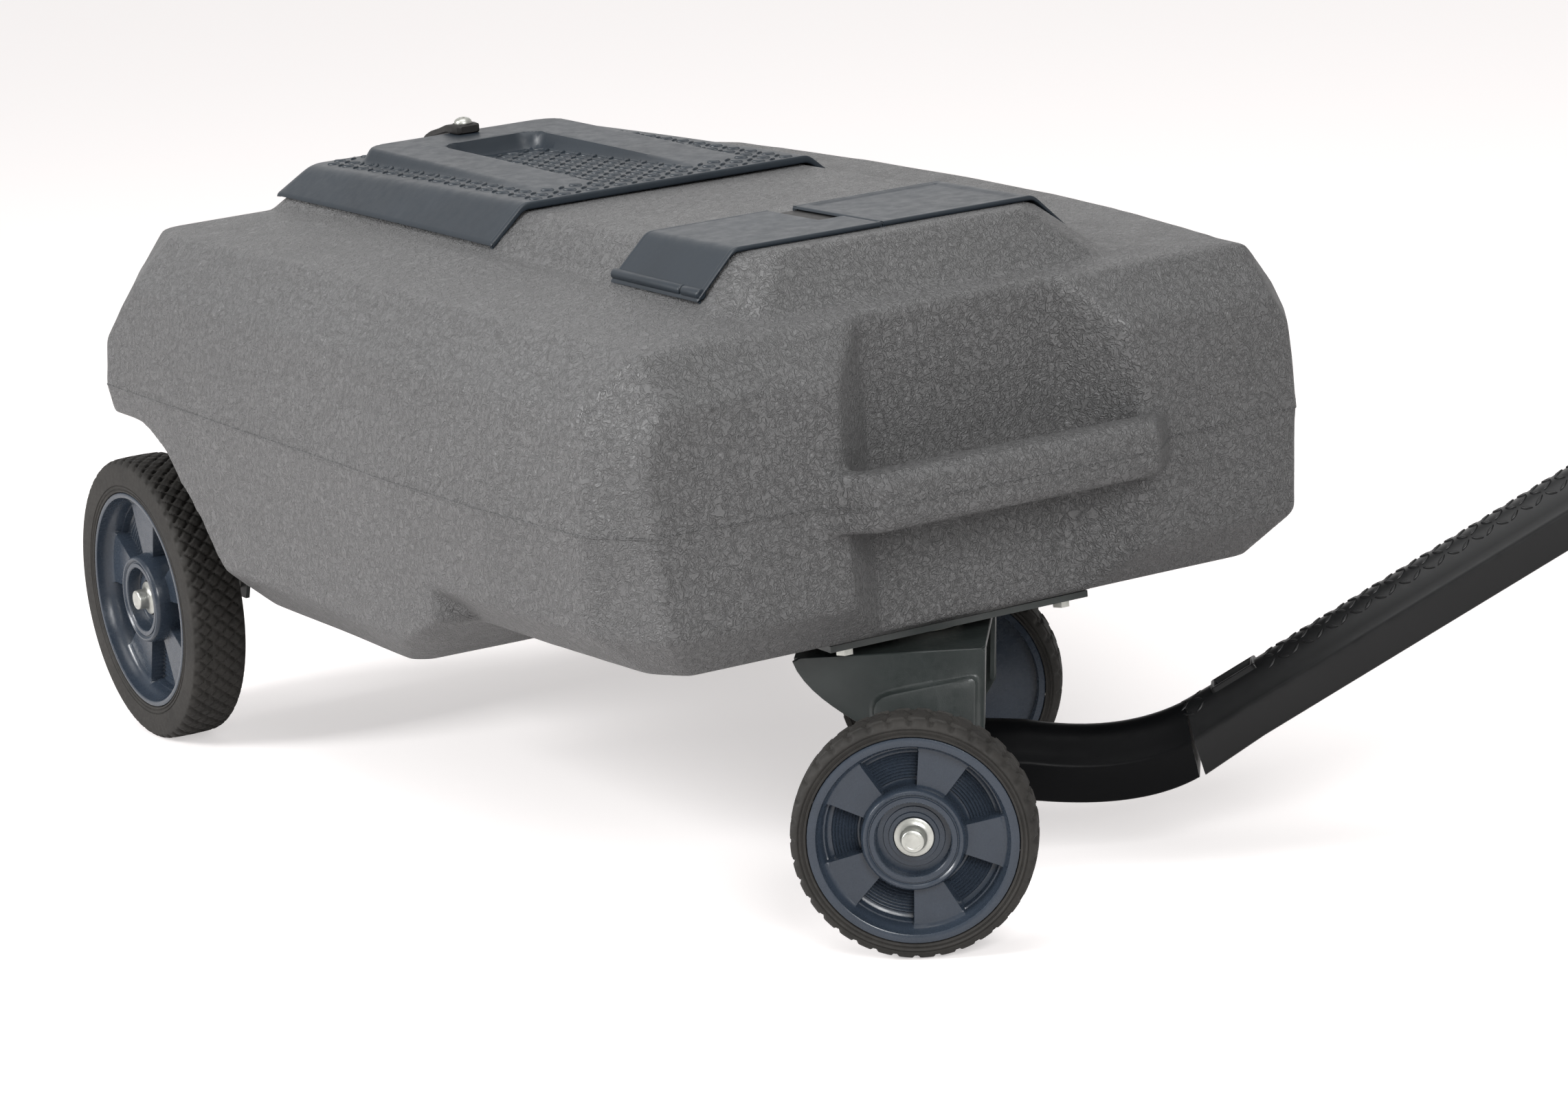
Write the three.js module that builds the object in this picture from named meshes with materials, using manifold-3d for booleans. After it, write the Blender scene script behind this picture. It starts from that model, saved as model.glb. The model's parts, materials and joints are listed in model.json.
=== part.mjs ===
// Four-wheel portable waste tote: a hollow moulded tank on two fixed rear wheels and a
// steered front axle, with a pitching tow handle, two hinged top covers and a level gauge.
// Units are millimetres, +X points to the tow end, +Y to the tote's left, +Z up.
// Places are measured from the point on the floor straight under the kingpin, and the
// whole tote is then moved so that the origin is the middle of its footprint.
import * as THREE from 'three';
import { mergeVertices } from 'three/addons/utils/BufferGeometryUtils.js';
import Module from 'manifold-3d';

const wasm = await Module();
wasm.setup();

// ---------------------------------------------------------------- driving dimensions

const GAP = 0.35;                 // running clearance between neighbouring pieces
const WALL = 6;                   // tank wall
const COVER = 4;                  // cover wall

// From the origin to the point under the kingpin, with the handle out to the left.
const KINGPIN_PLACE = [271.6, -166.8, 0];

// Tank, one row per height: half width, where the flat side ends (rear and front),
// and the end faces (x at the centre, x at the corner, half width of the face).
const TANK_REAR = -945;
const TANK_LEVELS = [
  { z: 238, half: 312, side: [-818, 52], rear: [-868, 280], front: [86, 84, 274] },
  { z: 278, half: 359, side: [-868, 44], rear: [-928, 317], front: [128, 120, 308] },
  { z: 366, half: 369, side: [-884, 66], rear: [TANK_REAR, 330], front: [135, 119, 315] },
  { z: 411, half: 366, side: [-880, 68], rear: [-940, 328], front: [134, 119, 314] },
  { z: 444, half: 362, side: [-846, 68], rear: [-920, 320], front: [131, 118, 312] },
  { z: 468, half: 358, side: [-820, 56], rear: [-908, 312], front: [127, 118, 298] },
  { z: 518, half: 313, side: [-824, 44], rear: [-893, 290], front: [88, 82, 298] },
  { z: 524, half: 200, side: [-790, -40], rear: [-820, 180], front: [30, 30, 180] },
];
const NOSE_TAPER = 18;            // how far the side leans in at the front end
const NOSE_TAPER_START = -278;
const TOP_SAG = 9;                // the shoulder drops this much at both ends
const TOP_MIDDLE = -358;
const TOP_REACH = 480;
const SHOULDER_Z = 500;           // rings above this follow the sag
const SIDE_STEPS = 6;
const FACE_STEPS = 4;

// Sump behind the steered wheels and the narrow tail between the rear wheels.
const SUMP_LEVELS = [
  { z: 174, half: 309, rear: -681, front: -366, bevel: 14 },
  { z: 214, half: 351, rear: -720, front: -275, bevel: 22 },
  { z: 246, half: 355, rear: -748, front: -203, bevel: 22 },
  { z: 361, half: 362, rear: -778, front: -188, bevel: 22 },
];
const TAIL_BOTTOM = 172;
const TAIL_LEVELS = [
  { z: TAIL_BOTTOM, half: 250, rear: -918, front: -690, bevel: 18 },
  { z: 198, half: 271, rear: TANK_REAR, front: -680, bevel: 18 },
  { z: 330, half: 271, rear: TANK_REAR, front: -670, bevel: 18 },
];
const WELL_INNER = 272;           // half width left between the wheel wells
// Side outline of a well: a level roof, a long slope and a steep foot, joined by bends.
const WELL = { roof: 339, roofEnd: -840, bend: -796, slope: [[-768, 312], [-702, 230]],
  knee: [-689, 213], foot: [-684, 196], open: -668 };
// Pad under the tank that the steering plate is bolted to.
const STEERING_PAD = { halfX: 66, halfY: 132, z: [232, 242] };

// Raised spine along the top, which carries both covers.
const SPINE = { base: 500, foot: 523, halfFoot: 184, halfTop: 146, rearRun: 14, frontRun: 33 };
const SPINE_REAR = -868;
const SPINE_FRONT = 11;
const SPINE_TOP = 560;
const SPINE_TILT = 0.0174;        // the spine falls towards the rear
const SPINE_BEVEL = 26;

// Front recess, with the grab bar across it.
const RECESS = { y: 6, floorX: 82, faceX: 130, halfFloor: 95, halfFace: 147 };
const BAR = { frontX: 168, rootX: 122, backX: 134, halfFront: 136, halfRoot: 179,
  halfBack: 128, z: [344, 353, 385, 394], shrink: 7, rootDepth: 20 };

// Pockets under the two covers.
const HOSE_BAY = { x: [-860, -428], y: [-118, 118], floor: 415 };
const GAUGE_BAY = { x: [-150, -30], y: [-128, -14], floor: 516 };

// Wheels and axles.
const AXLE_R = 8;
const REAR_AXLE = { x: -932, z: 139.8 };
const REAR_WHEEL = { radius: 139.8, width: 55, lip: 106.5, face: 343 };
const FRONT_WHEEL = { radius: 101.6, width: 49.4, lip: 87, face: 267.3 };
const WHEEL_SIDES = 24;
const HUB = { ring: 43, well: 31, bore: AXLE_R + GAP, boss: 21 };
const CAP = { flange: 16.5, boss: 9.6, length: 15, sheet: 2 };
const HANGER = { y: 215, half: 20, sheet: 5, boltX: 72, boltHole: 3.6 };

// Steering, with the front axle turned to the left at rest.
const STEER_REST = THREE.MathUtils.degToRad(54.9);
const PLATE = { z: [226, 231.6], half: [62, 128] };
const PLATE_BOLTS = { x: 50, y: 108, radius: 8, head: 6 };
const BEARING = { radius: 32, z: [216.4, 225.6] };
const SADDLE = { top: 216, sheet: 4, halfWidth: 96 };
const KINGPIN_R = 9;
const KINGPIN_END = 196;
const NUT = { radius: 15, z: [199, 210] };

// Tow handle.
const HANDLE_PITCH = THREE.MathUtils.degToRad(29.2);
const DRAWBAR_HALF = 36;
const SEAM = { s: 219, z: 104 };
// Side outline of the seam between drawbar and arm, from the top down: [forward, height].
const SEAM_LINE = [[218, 135], [217, 107], [228, 76]];
const SEAM_WEDGE = 5;             // the seam opens by this much at its foot
const ARM = { length: 560, half: 36, below: 27, shoulder: 4, crown: 27 };
const ARM_SLOT = { from: 44, length: 36, half: 11 };
const GRIP = { half: 84, radius: 17, spread: 92, sleeve: 52 };

// Level gauge.
const GAUGE = { x: -92, y: -92, flange: 31, neck: 16, pivotZ: 486 };
const FLOAT_ARM = { length: 150, drop: THREE.MathUtils.degToRad(32), radius: 3 };
const RINSE = { x: -92, y: -38, neck: 13, cap: 18 };

// Waste port on the rear face.
const PORT = { z: 262, bore: 36, outer: 41, flange: 56, reach: 40 };

// ---------------------------------------------------------------- materials

const look = (color, roughness, metalness = 0) =>
  new THREE.MeshStandardMaterial({ color, roughness, metalness });

const TANK_GREY = look(0x8b8d8f, 0.55);
const COVER_SLATE = look(0x3d464e, 0.4);
const RIM_NAVY = look(0x2b323b, 0.3);
const TYRE_BLACK = look(0x2c2a28, 0.85);
const BAR_BLACK = look(0x17191b, 0.35);
const RUBBER_BLACK = look(0x1c1a19, 0.8);
const BRACKET_GREEN = look(0x363c3a, 0.5, 0.4);
const ZINC = look(0xb9bbb6, 0.35, 0.9);
const HOSE_BROWN = look(0x5a3a2a, 0.6);
const CLEAR = look(0xcfd8dc, 0.1);
const NEEDLE_RED = look(0xb03024, 0.5);

// ---------------------------------------------------------------- solids

const X_AXIS = new THREE.Vector3(1, 0, 0);
const Y_AXIS = new THREE.Vector3(0, 1, 0);
const Z_AXIS = new THREE.Vector3(0, 0, 1);

function signedVolume(positions, triangles) {
  let sum = 0;
  const [a, b, c] = [new THREE.Vector3(), new THREE.Vector3(), new THREE.Vector3()];
  for (let i = 0; i < triangles.length; i += 3) {
    a.fromArray(positions, triangles[i] * 3);
    b.fromArray(positions, triangles[i + 1] * 3);
    c.fromArray(positions, triangles[i + 2] * 3);
    sum += a.dot(b.cross(c));
  }
  return sum;
}

// A closed three.js geometry as a solid: welded, without empty triangles, facing out.
function toSolid(geometry) {
  const bare = geometry.clone();
  bare.deleteAttribute('normal');
  bare.deleteAttribute('uv');
  const welded = mergeVertices(bare, 1e-3);
  const positions = new Float32Array(welded.attributes.position.array);
  const source = welded.index.array;
  const triangles = [];
  for (let i = 0; i < source.length; i += 3) {
    const [a, b, c] = [source[i], source[i + 1], source[i + 2]];
    if (a !== b && b !== c && c !== a) triangles.push(a, b, c);
  }
  if (signedVolume(positions, triangles) < 0) triangles.reverse();
  return new wasm.Manifold(new wasm.Mesh({
    numProp: 3,
    vertProperties: positions,
    triVerts: new Uint32Array(triangles),
  }));
}

function toGeometry(solid) {
  const { vertProperties, triVerts } = solid.getMesh();
  const geometry = new THREE.BufferGeometry();
  geometry.setAttribute('position', new THREE.BufferAttribute(new Float32Array(vertProperties), 3));
  geometry.setIndex(new THREE.BufferAttribute(new Uint32Array(triVerts), 1));
  geometry.computeVertexNormals();
  return geometry;
}

const join = (first, ...rest) => rest.reduce((sum, next) => sum.add(next), first);
const cut = (first, ...rest) => rest.reduce((sum, next) => sum.subtract(next), first);

function box([x0, x1], [y0, y1], [z0, z1]) {
  const geometry = new THREE.BoxGeometry(x1 - x0, y1 - y0, z1 - z0);
  geometry.translate((x0 + x1) / 2, (y0 + y1) / 2, (z0 + z1) / 2);
  return toSolid(geometry);
}

// A round bar from start to end.
function rod(radius, start, end, sides = 20) {
  const from = new THREE.Vector3(...start);
  const to = new THREE.Vector3(...end);
  const along = to.clone().sub(from);
  const geometry = new THREE.CylinderGeometry(radius, radius, along.length(), sides);
  const turn = new THREE.Quaternion().setFromUnitVectors(Y_AXIS, along.clone().normalize());
  geometry.applyQuaternion(turn);
  geometry.translate(...from.add(to).multiplyScalar(0.5).toArray());
  return toSolid(geometry);
}

// A turned piece: profile is a list of [radius, height], revolved about axis through centre.
function turned(profile, centre, axis, sides = 24) {
  const points = profile.map(([r, h]) => new THREE.Vector2(r, h));
  const geometry = new THREE.LatheGeometry(points, sides);
  geometry.applyQuaternion(new THREE.Quaternion().setFromUnitVectors(Y_AXIS, axis));
  geometry.translate(...centre);
  return toSolid(geometry);
}

const outline = (points) => new THREE.Shape(points.map(([a, b]) => new THREE.Vector2(a, b)));

// Sweeps a shape drawn in X and Z along Y.
function sweepY(shape, [y0, y1]) {
  const geometry = new THREE.ExtrudeGeometry(shape,
    { depth: y1 - y0, bevelEnabled: false, curveSegments: 10 });
  geometry.applyMatrix4(new THREE.Matrix4().makeBasis(X_AXIS, Z_AXIS, Y_AXIS.clone().negate()));
  geometry.translate(0, y1, 0);
  return toSolid(geometry);
}

// Sweeps a shape drawn in X and Y along Z.
function sweepZ(shape, [z0, z1]) {
  const geometry = new THREE.ExtrudeGeometry(shape,
    { depth: z1 - z0, bevelEnabled: false, curveSegments: 10 });
  geometry.translate(0, 0, z0);
  return toSolid(geometry);
}

// Sweeps a shape drawn in Y and Z along X.
function sweepX(shape, [x0, x1]) {
  const geometry = new THREE.ExtrudeGeometry(shape,
    { depth: x1 - x0, bevelEnabled: false, curveSegments: 10 });
  geometry.applyMatrix4(new THREE.Matrix4().makeBasis(Y_AXIS, Z_AXIS, X_AXIS));
  geometry.translate(x0, 0, 0);
  return toSolid(geometry);
}

// Skins a stack of rings, listed from the bottom up, that all have the same point count.
// The diagonals on the left half mirror those on the right.
function stack(rings) {
  const count = rings[0].length;
  const positions = rings.flat(2);
  const index = [];
  for (let level = 0; level + 1 < rings.length; level += 1) {
    for (let i = 0; i < count; i += 1) {
      const next = (i + 1) % count;
      const [a, b] = [level * count + i, level * count + next];
      const onLeft = rings[level][i][1] + rings[level][next][1] > 0;
      if (onLeft) index.push(a, b, a + count, b, b + count, a + count);
      else index.push(a, b, b + count, a, b + count, a + count);
    }
  }
  const top = (rings.length - 1) * count;
  const cap = (ring) => THREE.ShapeUtils.triangulateShape(
    ring.map(([x, y]) => new THREE.Vector2(x, y)), []);
  for (const [a, b, c] of cap(rings[0])) index.push(c, b, a);
  for (const [a, b, c] of cap(rings[rings.length - 1])) index.push(top + a, top + b, top + c);
  const geometry = new THREE.BufferGeometry();
  geometry.setAttribute('position', new THREE.Float32BufferAttribute(positions, 3));
  geometry.setIndex(index);
  return toSolid(geometry);
}

const lerp = THREE.MathUtils.lerp;
const mirrored = (ring) => ring.map(([x, y, z]) => [x, -y, z]).reverse();

// ---------------------------------------------------------------- the scene graph

const tote = new THREE.Group();
const steering = new THREE.Group();
steering.rotation.z = STEER_REST;
tote.add(steering);
tote.position.set(...KINGPIN_PLACE);

function piece(name, solid, material, parent = tote) {
  const mesh = new THREE.Mesh(toGeometry(solid), material);
  mesh.name = name;
  parent.add(mesh);
}

const bothSides = [['left', 1], ['right', -1]];

// ---------------------------------------------------------------- tank

const shoulderSag = (x) => TOP_SAG * ((x - TOP_MIDDLE) / TOP_REACH) ** 2;

function noseTaper(x, frontEnd) {
  const share = Math.max(0, (x - NOSE_TAPER_START) / (frontEnd - NOSE_TAPER_START));
  return NOSE_TAPER * share * share;
}

// One horizontal ring round the tank, counter-clockwise from above.
function tankRing({ z, half, side, rear, front }, inset = 0, lift = 0) {
  const crowned = (x) => (z > SHOULDER_Z ? z - shoulderSag(x) : z) + lift;
  const rightSide = [];
  for (let i = 0; i <= SIDE_STEPS; i += 1) {
    const x = lerp(side[0] + inset / 2, side[1] - inset / 2, i / SIDE_STEPS);
    rightSide.push([x, -(half - inset - noseTaper(x, side[1])), crowned(x)]);
  }
  const face = [];
  const halfFace = front[2] - inset / 2;
  for (let i = 0; i <= FACE_STEPS; i += 1) {
    const y = lerp(-halfFace, halfFace, i / FACE_STEPS);
    const x = lerp(front[0], front[1], (y / halfFace) ** 2) - inset;
    face.push([x, y, crowned(x)]);
  }
  const back = [1, -1].map((turn) => {
    const x = rear[0] + inset;
    return [x, turn * (rear[1] - inset / 2), crowned(x)];
  });
  return [...rightSide, ...face, ...mirrored(rightSide), ...back];
}

const bevelled = ({ z, half, rear, front, bevel }, inset = 0, lift = 0) => {
  const [x0, x1, w] = [rear + inset, front - inset, half - inset];
  const height = z + lift;
  return [[x0 + bevel, -w, height], [x1 - bevel, -w, height], [x1, -w + bevel, height],
    [x1, w - bevel, height], [x1 - bevel, w, height], [x0 + bevel, w, height],
    [x0, w - bevel, height], [x0, -w + bevel, height]];
};

// The spine's surface, moved out by offset (negative for the inside of the tank).
function spineRings(offset, [x0, x1] = [SPINE_REAR, SPINE_FRONT]) {
  const slopeOut = offset * Math.SQRT2;
  const topOut = offset * Math.tan(Math.PI / 8);
  const ring = (z, half, rear, front, tilt) => bevelled(
    { z: 0, half, rear, front, bevel: SPINE_BEVEL }).map(([x, y]) => [x, y, z + tilt * x]);
  const below = SPINE.foot - SPINE.base;
  const deeper = 1 + below / (SPINE_TOP - SPINE.foot);
  return [
    ring(SPINE.base, SPINE.halfFoot + below + slopeOut, x0 - SPINE.rearRun * deeper - slopeOut,
      x1 + SPINE.frontRun * deeper + slopeOut, 0),
    ring(SPINE_TOP + offset, SPINE.halfTop + topOut, x0 - topOut, x1 + topOut, SPINE_TILT),
  ];
}

const bayBox = ({ x, y, floor }, grow = 0) => box([x[0] - grow, x[1] + grow],
  [y[0] - grow, y[1] + grow], [floor - grow, SPINE_TOP + 60]);

function wheelWells(grow = 0) {
  const { roof, roofEnd, bend, slope, knee, foot, open } = WELL;
  const [below, behind, beside] = [100, -1100, 420];
  const [[startX, startZ], [endX, endZ]] = slope;
  const shape = new THREE.Shape();
  shape.moveTo(behind, below);
  shape.lineTo(behind, roof + grow);
  shape.lineTo(roofEnd + grow, roof + grow);
  shape.quadraticCurveTo(bend + grow, roof + grow, startX + grow, startZ);
  shape.lineTo(endX + grow, endZ);
  shape.quadraticCurveTo(knee[0] + grow, knee[1], foot[0] + grow, foot[1]);
  shape.lineTo(open + grow, below);
  return join(sweepY(shape, [WELL_INNER - grow, beside]),
    sweepY(shape, [-beside, grow - WELL_INNER]));
}

function recess(grow = 0) {
  const { y, floorX, faceX, halfFloor, halfFace } = RECESS;
  const reach = 60;
  const spread = halfFace + (halfFace - halfFloor) * reach / (faceX - floorX);
  const floor = floorX - grow;
  return sweepZ(outline([[floor, y - halfFloor - grow], [faceX + reach, y - spread - grow],
    [faceX + reach, y + spread + grow], [floor, y + halfFloor + grow]]), [150, 600]);
}

function grabBar() {
  const { frontX, rootX, backX, halfFront, halfRoot, halfBack, z, shrink, rootDepth } = BAR;
  const innerRoot = halfRoot - rootDepth;
  const ring = (height, front) => [[rootX, -halfRoot], [front, -halfFront], [front, halfFront],
    [rootX, halfRoot], [rootX, innerRoot], [backX, halfBack], [backX, -halfBack],
    [rootX, -innerRoot]].map(([x, y]) => [x, y + RECESS.y, height]);
  return stack([ring(z[0], frontX - shrink), ring(z[1], frontX), ring(z[2], frontX),
    ring(z[3], frontX - shrink)]);
}

// An upright hole through the floor of the gauge bay.
const throughFloor = (radius, { x, y }) => rod(radius, [x, y, GAUGE_BAY.floor - 36],
  [x, y, GAUGE_BAY.floor + 14]);

// Front cover's span along the tank, and the hinge along its outer edge.
const FRONT_COVER_X = [-166, -13];
const FLAP_HINGE = { y: -181.5, z: 530, radius: 4.6, pin: 1.8, groove: 6.9 };

// Room in the tank's top for the front flap's knuckle to turn in.
function hingeGroove() {
  const { y, z, groove } = FLAP_HINGE;
  return rod(groove, [FRONT_COVER_X[0] - 1, y, z], [FRONT_COVER_X[1] + 1, y, z], 24);
}

function tankShell() {
  const pad = STEERING_PAD;
  const outer = cut(
    join(
      stack(TANK_LEVELS.map((level) => tankRing(level))),
      stack(SUMP_LEVELS.map((level) => bevelled(level))),
      stack(TAIL_LEVELS.map((level) => bevelled(level))),
      stack(spineRings(0)),
      box([-pad.halfX, pad.halfX], [-pad.halfY, pad.halfY], pad.z),
    ),
    wheelWells(),
    recess(),
  );
  const inLevels = TANK_LEVELS.map((level, i) => tankRing(level, WALL,
    i === 0 ? WALL : i === TANK_LEVELS.length - 1 ? -WALL : 0));
  const inset = (levels) => levels.map((level, i) => bevelled(level, WALL, i === 0 ? WALL : 0));
  const cavity = cut(
    join(stack(inLevels), stack(inset(SUMP_LEVELS)), stack(inset(TAIL_LEVELS)),
      stack(spineRings(-WALL))),
    wheelWells(WALL),
    recess(WALL),
    bayBox(HOSE_BAY, WALL),
    bayBox(GAUGE_BAY, WALL),
  );
  return cut(
    join(outer, grabBar()),
    cavity,
    bayBox(HOSE_BAY),
    bayBox(GAUGE_BAY),
    throughFloor(GAUGE.neck + GAP, GAUGE),
    throughFloor(RINSE.neck + GAP, RINSE),
    rod(PORT.outer + GAP, [TANK_REAR - 15, 0, PORT.z], [TANK_REAR + 45, 0, PORT.z], 24),
    hingeGroove(),
  );
}
piece('tank_shell', tankShell(), TANK_GREY);

// ---------------------------------------------------------------- covers

// A cover wall over the spine between two x planes.
function coverShell([x0, x1], extra = 0) {
  const span = box([x0, x1], [-260, 260], [SPINE.foot + 3 - extra, 640]);
  return cut(stack(spineRings(COVER + GAP)).intersect(span), stack(spineRings(GAP)));
}

const REAR_COVER_X = [-872, -397];
const SEAM_Y = -4;
const SEAM_GAP = 0.8;
const STRAP_X = -812;

// The rear cover's frame stands proud of the top, most at the rear: the cover falls
// towards the rear and the frame falls towards the front.
const COVER_FRAME = { top: 564.4, fall: 0.0165, rear: -834, front: -440, half: 115,
  slope: 9, bevel: 18 };
// The scoop in that frame is deepest near its rear wall and runs out at the front.
const SCOOP = { half: 53, rear: -762, deepest: -735, floor: 549, front: -440, skin: 5, wall: 4 };
const STRAP = { half: 11, pad: 13, z: [564.8, 574], hole: 2.9 + GAP };

const upright = (radius, x, [z0, z1]) => rod(radius, [x, 0, z0], [x, 0, z1], 16);

function rearCover() {
  const { top, fall, rear, front, half, slope, bevel } = COVER_FRAME;
  const insideWall = (x) => SPINE_TOP + COVER / 2 + SPINE_TILT * x;
  const frameTop = (x) => top - fall * (x - rear);
  const frame = stack([[insideWall, 0], [frameTop, slope]].map(([height, inset]) => bevelled(
    { z: 0, half: half - inset, rear: rear + inset, front: front - inset, bevel })
    .map(([x, y]) => [x, y, height(x)])));
  const { floor, deepest, skin, wall } = SCOOP;
  const [ceiling, lip] = [600, frameTop(SCOOP.front)];
  const scoop = sweepY(outline([[SCOOP.rear, floor + 2], [deepest, floor], [SCOOP.front, lip + 0.5],
    [SCOOP.front, ceiling], [SCOOP.rear, ceiling]]), [-SCOOP.half, SCOOP.half]);
  const tub = sweepY(outline([[SCOOP.rear - wall, floor + 2 - skin], [deepest - 2, floor - skin],
    [SCOOP.front, lip - skin - 1], [SCOOP.front, lip - wall], [SCOOP.rear - wall, lip - wall]]),
  [-SCOOP.half - wall, SCOOP.half + wall]);
  return cut(join(coverShell(REAR_COVER_X), frame, tub), scoop,
    upright(3, STRAP_X, [520, 580]));
}
piece('rear_cover', rearCover(), COVER_SLATE);

const flapCut = box([-200, 0], [SEAM_Y, 260], [480, 640]);
const plateCut = box([-200, 0], [-260, SEAM_Y + SEAM_GAP], [480, 640]);
// Corners of the finger opening at the rear end of the flap, seen from above.
const FINGER_OPENING = sweepZ(outline([[-175, -28], [-80, -28], [-62, 2], [-175, 2]]), [480, 640]);

function frontFlap() {
  const { y, z, radius, pin } = FLAP_HINGE;
  const knuckle = rod(radius, [FRONT_COVER_X[0] + 8, y, z], [FRONT_COVER_X[1] - 8, y, z], 20);
  return cut(join(cut(coverShell(FRONT_COVER_X), flapCut), knuckle), FINGER_OPENING,
    rod(pin + GAP, [-200, y, z], [20, y, z], 16), stack(spineRings(GAP)));
}
piece('front_flap', frontFlap(), COVER_SLATE);

piece('flap_pin', rod(FLAP_HINGE.pin, [FRONT_COVER_X[0] + 1, FLAP_HINGE.y, FLAP_HINGE.z],
  [FRONT_COVER_X[1] - 1, FLAP_HINGE.y, FLAP_HINGE.z], 16), ZINC);

piece('front_plate', cut(coverShell(FRONT_COVER_X), plateCut), COVER_SLATE);

// Rubber strap that holds the rear cover down: a pad under the screw and a tail over the edge.
function coverStrap() {
  const [bottom, top] = STRAP.z;
  const profile = outline([[-799, bottom], [-799, top - 1], [-828, top - 2], [-888, 556],
    [-903, 522], [-912, 492], [-912, 484], [-906, 484], [-905.5, 492], [-897, 521], [-884, 548],
    [-825, bottom]]);
  const tail = sweepY(profile, [-STRAP.half, STRAP.half]);
  return cut(join(tail, upright(STRAP.pad, STRAP_X, STRAP.z)),
    upright(STRAP.hole, STRAP_X, [550, 590]));
}
piece('cover_strap', coverStrap(), RUBBER_BLACK);

// Round head on a plain shank, drawn as [radius, height] over the strap's top.
const strapScrew = [[0, -31], [2.6, -31], [2.6, 0], [8.6, 0], [8, 2.6], [5, 5.2], [0, 6.2]];
piece('strap_screw', turned(strapScrew, [STRAP_X, 0, STRAP.z[1] + 0.4], Z_AXIS, 20), ZINC);

// ---------------------------------------------------------------- gauge, rinse neck, port, hose

function gaugeBody() {
  const { x, y, flange, neck, pivotZ } = GAUGE;
  const top = GAUGE_BAY.floor + GAP;
  const head = turned([[0, top], [flange, top], [flange, top + 10], [flange - 3, top + 14],
    [flange - 5, top + 14], [flange - 5, top + 9], [0, top + 9]], [x, y, 0], Z_AXIS, 20);
  const stem = rod(neck, [x, y, pivotZ + 8], [x, y, top + 1]);
  const fork = (side) => box([x - 7, x + 7], [y + side * 8 - 2, y + side * 8 + 2],
    [pivotZ - 7, pivotZ + 9]);
  return cut(join(head, stem, fork(1), fork(-1)),
    rod(2.4, [x, y - 20, pivotZ], [x, y + 20, pivotZ], 14),
    rod(2.4, [x, y, top + 4], [x, y, top + 20], 14));
}
piece('gauge_body', gaugeBody(), COVER_SLATE);

const gaugeTop = GAUGE_BAY.floor + GAP;
piece('gauge_needle', join(
  rod(2, [GAUGE.x, GAUGE.y, gaugeTop + 5], [GAUGE.x, GAUGE.y, gaugeTop + 11], 14),
  box([GAUGE.x - 20, GAUGE.x + 5], [GAUGE.y - 1.4, GAUGE.y + 1.4], [gaugeTop + 9.6, gaugeTop + 11]),
), NEEDLE_RED);

piece('gauge_window', rod(GAUGE.flange - 5 - GAP, [GAUGE.x, GAUGE.y, gaugeTop + 12],
  [GAUGE.x, GAUGE.y, gaugeTop + 13.6]), CLEAR);

const floatEnd = [GAUGE.x - FLOAT_ARM.length * Math.cos(FLOAT_ARM.drop), GAUGE.y,
  GAUGE.pivotZ - FLOAT_ARM.length * Math.sin(FLOAT_ARM.drop)];
piece('float_arm', join(
  rod(FLOAT_ARM.radius, [GAUGE.x, GAUGE.y, GAUGE.pivotZ], floatEnd, 16),
  rod(2, [GAUGE.x, GAUGE.y - 11, GAUGE.pivotZ], [GAUGE.x, GAUGE.y + 11, GAUGE.pivotZ], 14),
), ZINC);
piece('float', cut(
  rod(26, [floatEnd[0], floatEnd[1] - 32, floatEnd[2]], [floatEnd[0], floatEnd[1] + 32, floatEnd[2]]),
  rod(FLOAT_ARM.radius + GAP, [GAUGE.x, GAUGE.y, GAUGE.pivotZ],
    [2 * floatEnd[0] - GAUGE.x, GAUGE.y, 2 * floatEnd[2] - GAUGE.pivotZ], 16),
), HOSE_BROWN);

const rinseTop = GAUGE_BAY.floor + GAP;
piece('rinse_neck', cut(
  turned([[0, 496], [RINSE.neck, 496], [RINSE.neck, rinseTop], [RINSE.neck + 6, rinseTop],
    [RINSE.neck + 6, rinseTop + 4], [RINSE.neck, rinseTop + 4], [RINSE.neck, rinseTop + 16],
    [0, rinseTop + 16]], [RINSE.x, RINSE.y, 0], Z_AXIS, 28),
  rod(RINSE.neck - 4, [RINSE.x, RINSE.y, 480], [RINSE.x, RINSE.y, 560]),
), RIM_NAVY);
piece('rinse_cap', cut(
  rod(RINSE.cap, [RINSE.x, RINSE.y, rinseTop + 5], [RINSE.x, RINSE.y, rinseTop + 22]),
  rod(RINSE.neck + GAP, [RINSE.x, RINSE.y, rinseTop], [RINSE.x, RINSE.y, rinseTop + 17]),
), RIM_NAVY);

function wastePort() {
  const { z, bore, outer, flange, reach } = PORT;
  const face = GAP - TANK_REAR;
  const neck = turned([[0, face - 40], [outer, 905], [outer, face], [flange, face], [flange, face + 6],
    [outer, face + 6], [outer, face + reach], [0, face + reach]], [0, 0, z],
  X_AXIS.clone().negate());
  return cut(neck, rod(bore, [TANK_REAR - 65, 0, z], [TANK_REAR + 55, 0, z], 24));
}
piece('waste_port', wastePort(), COVER_SLATE);

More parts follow.
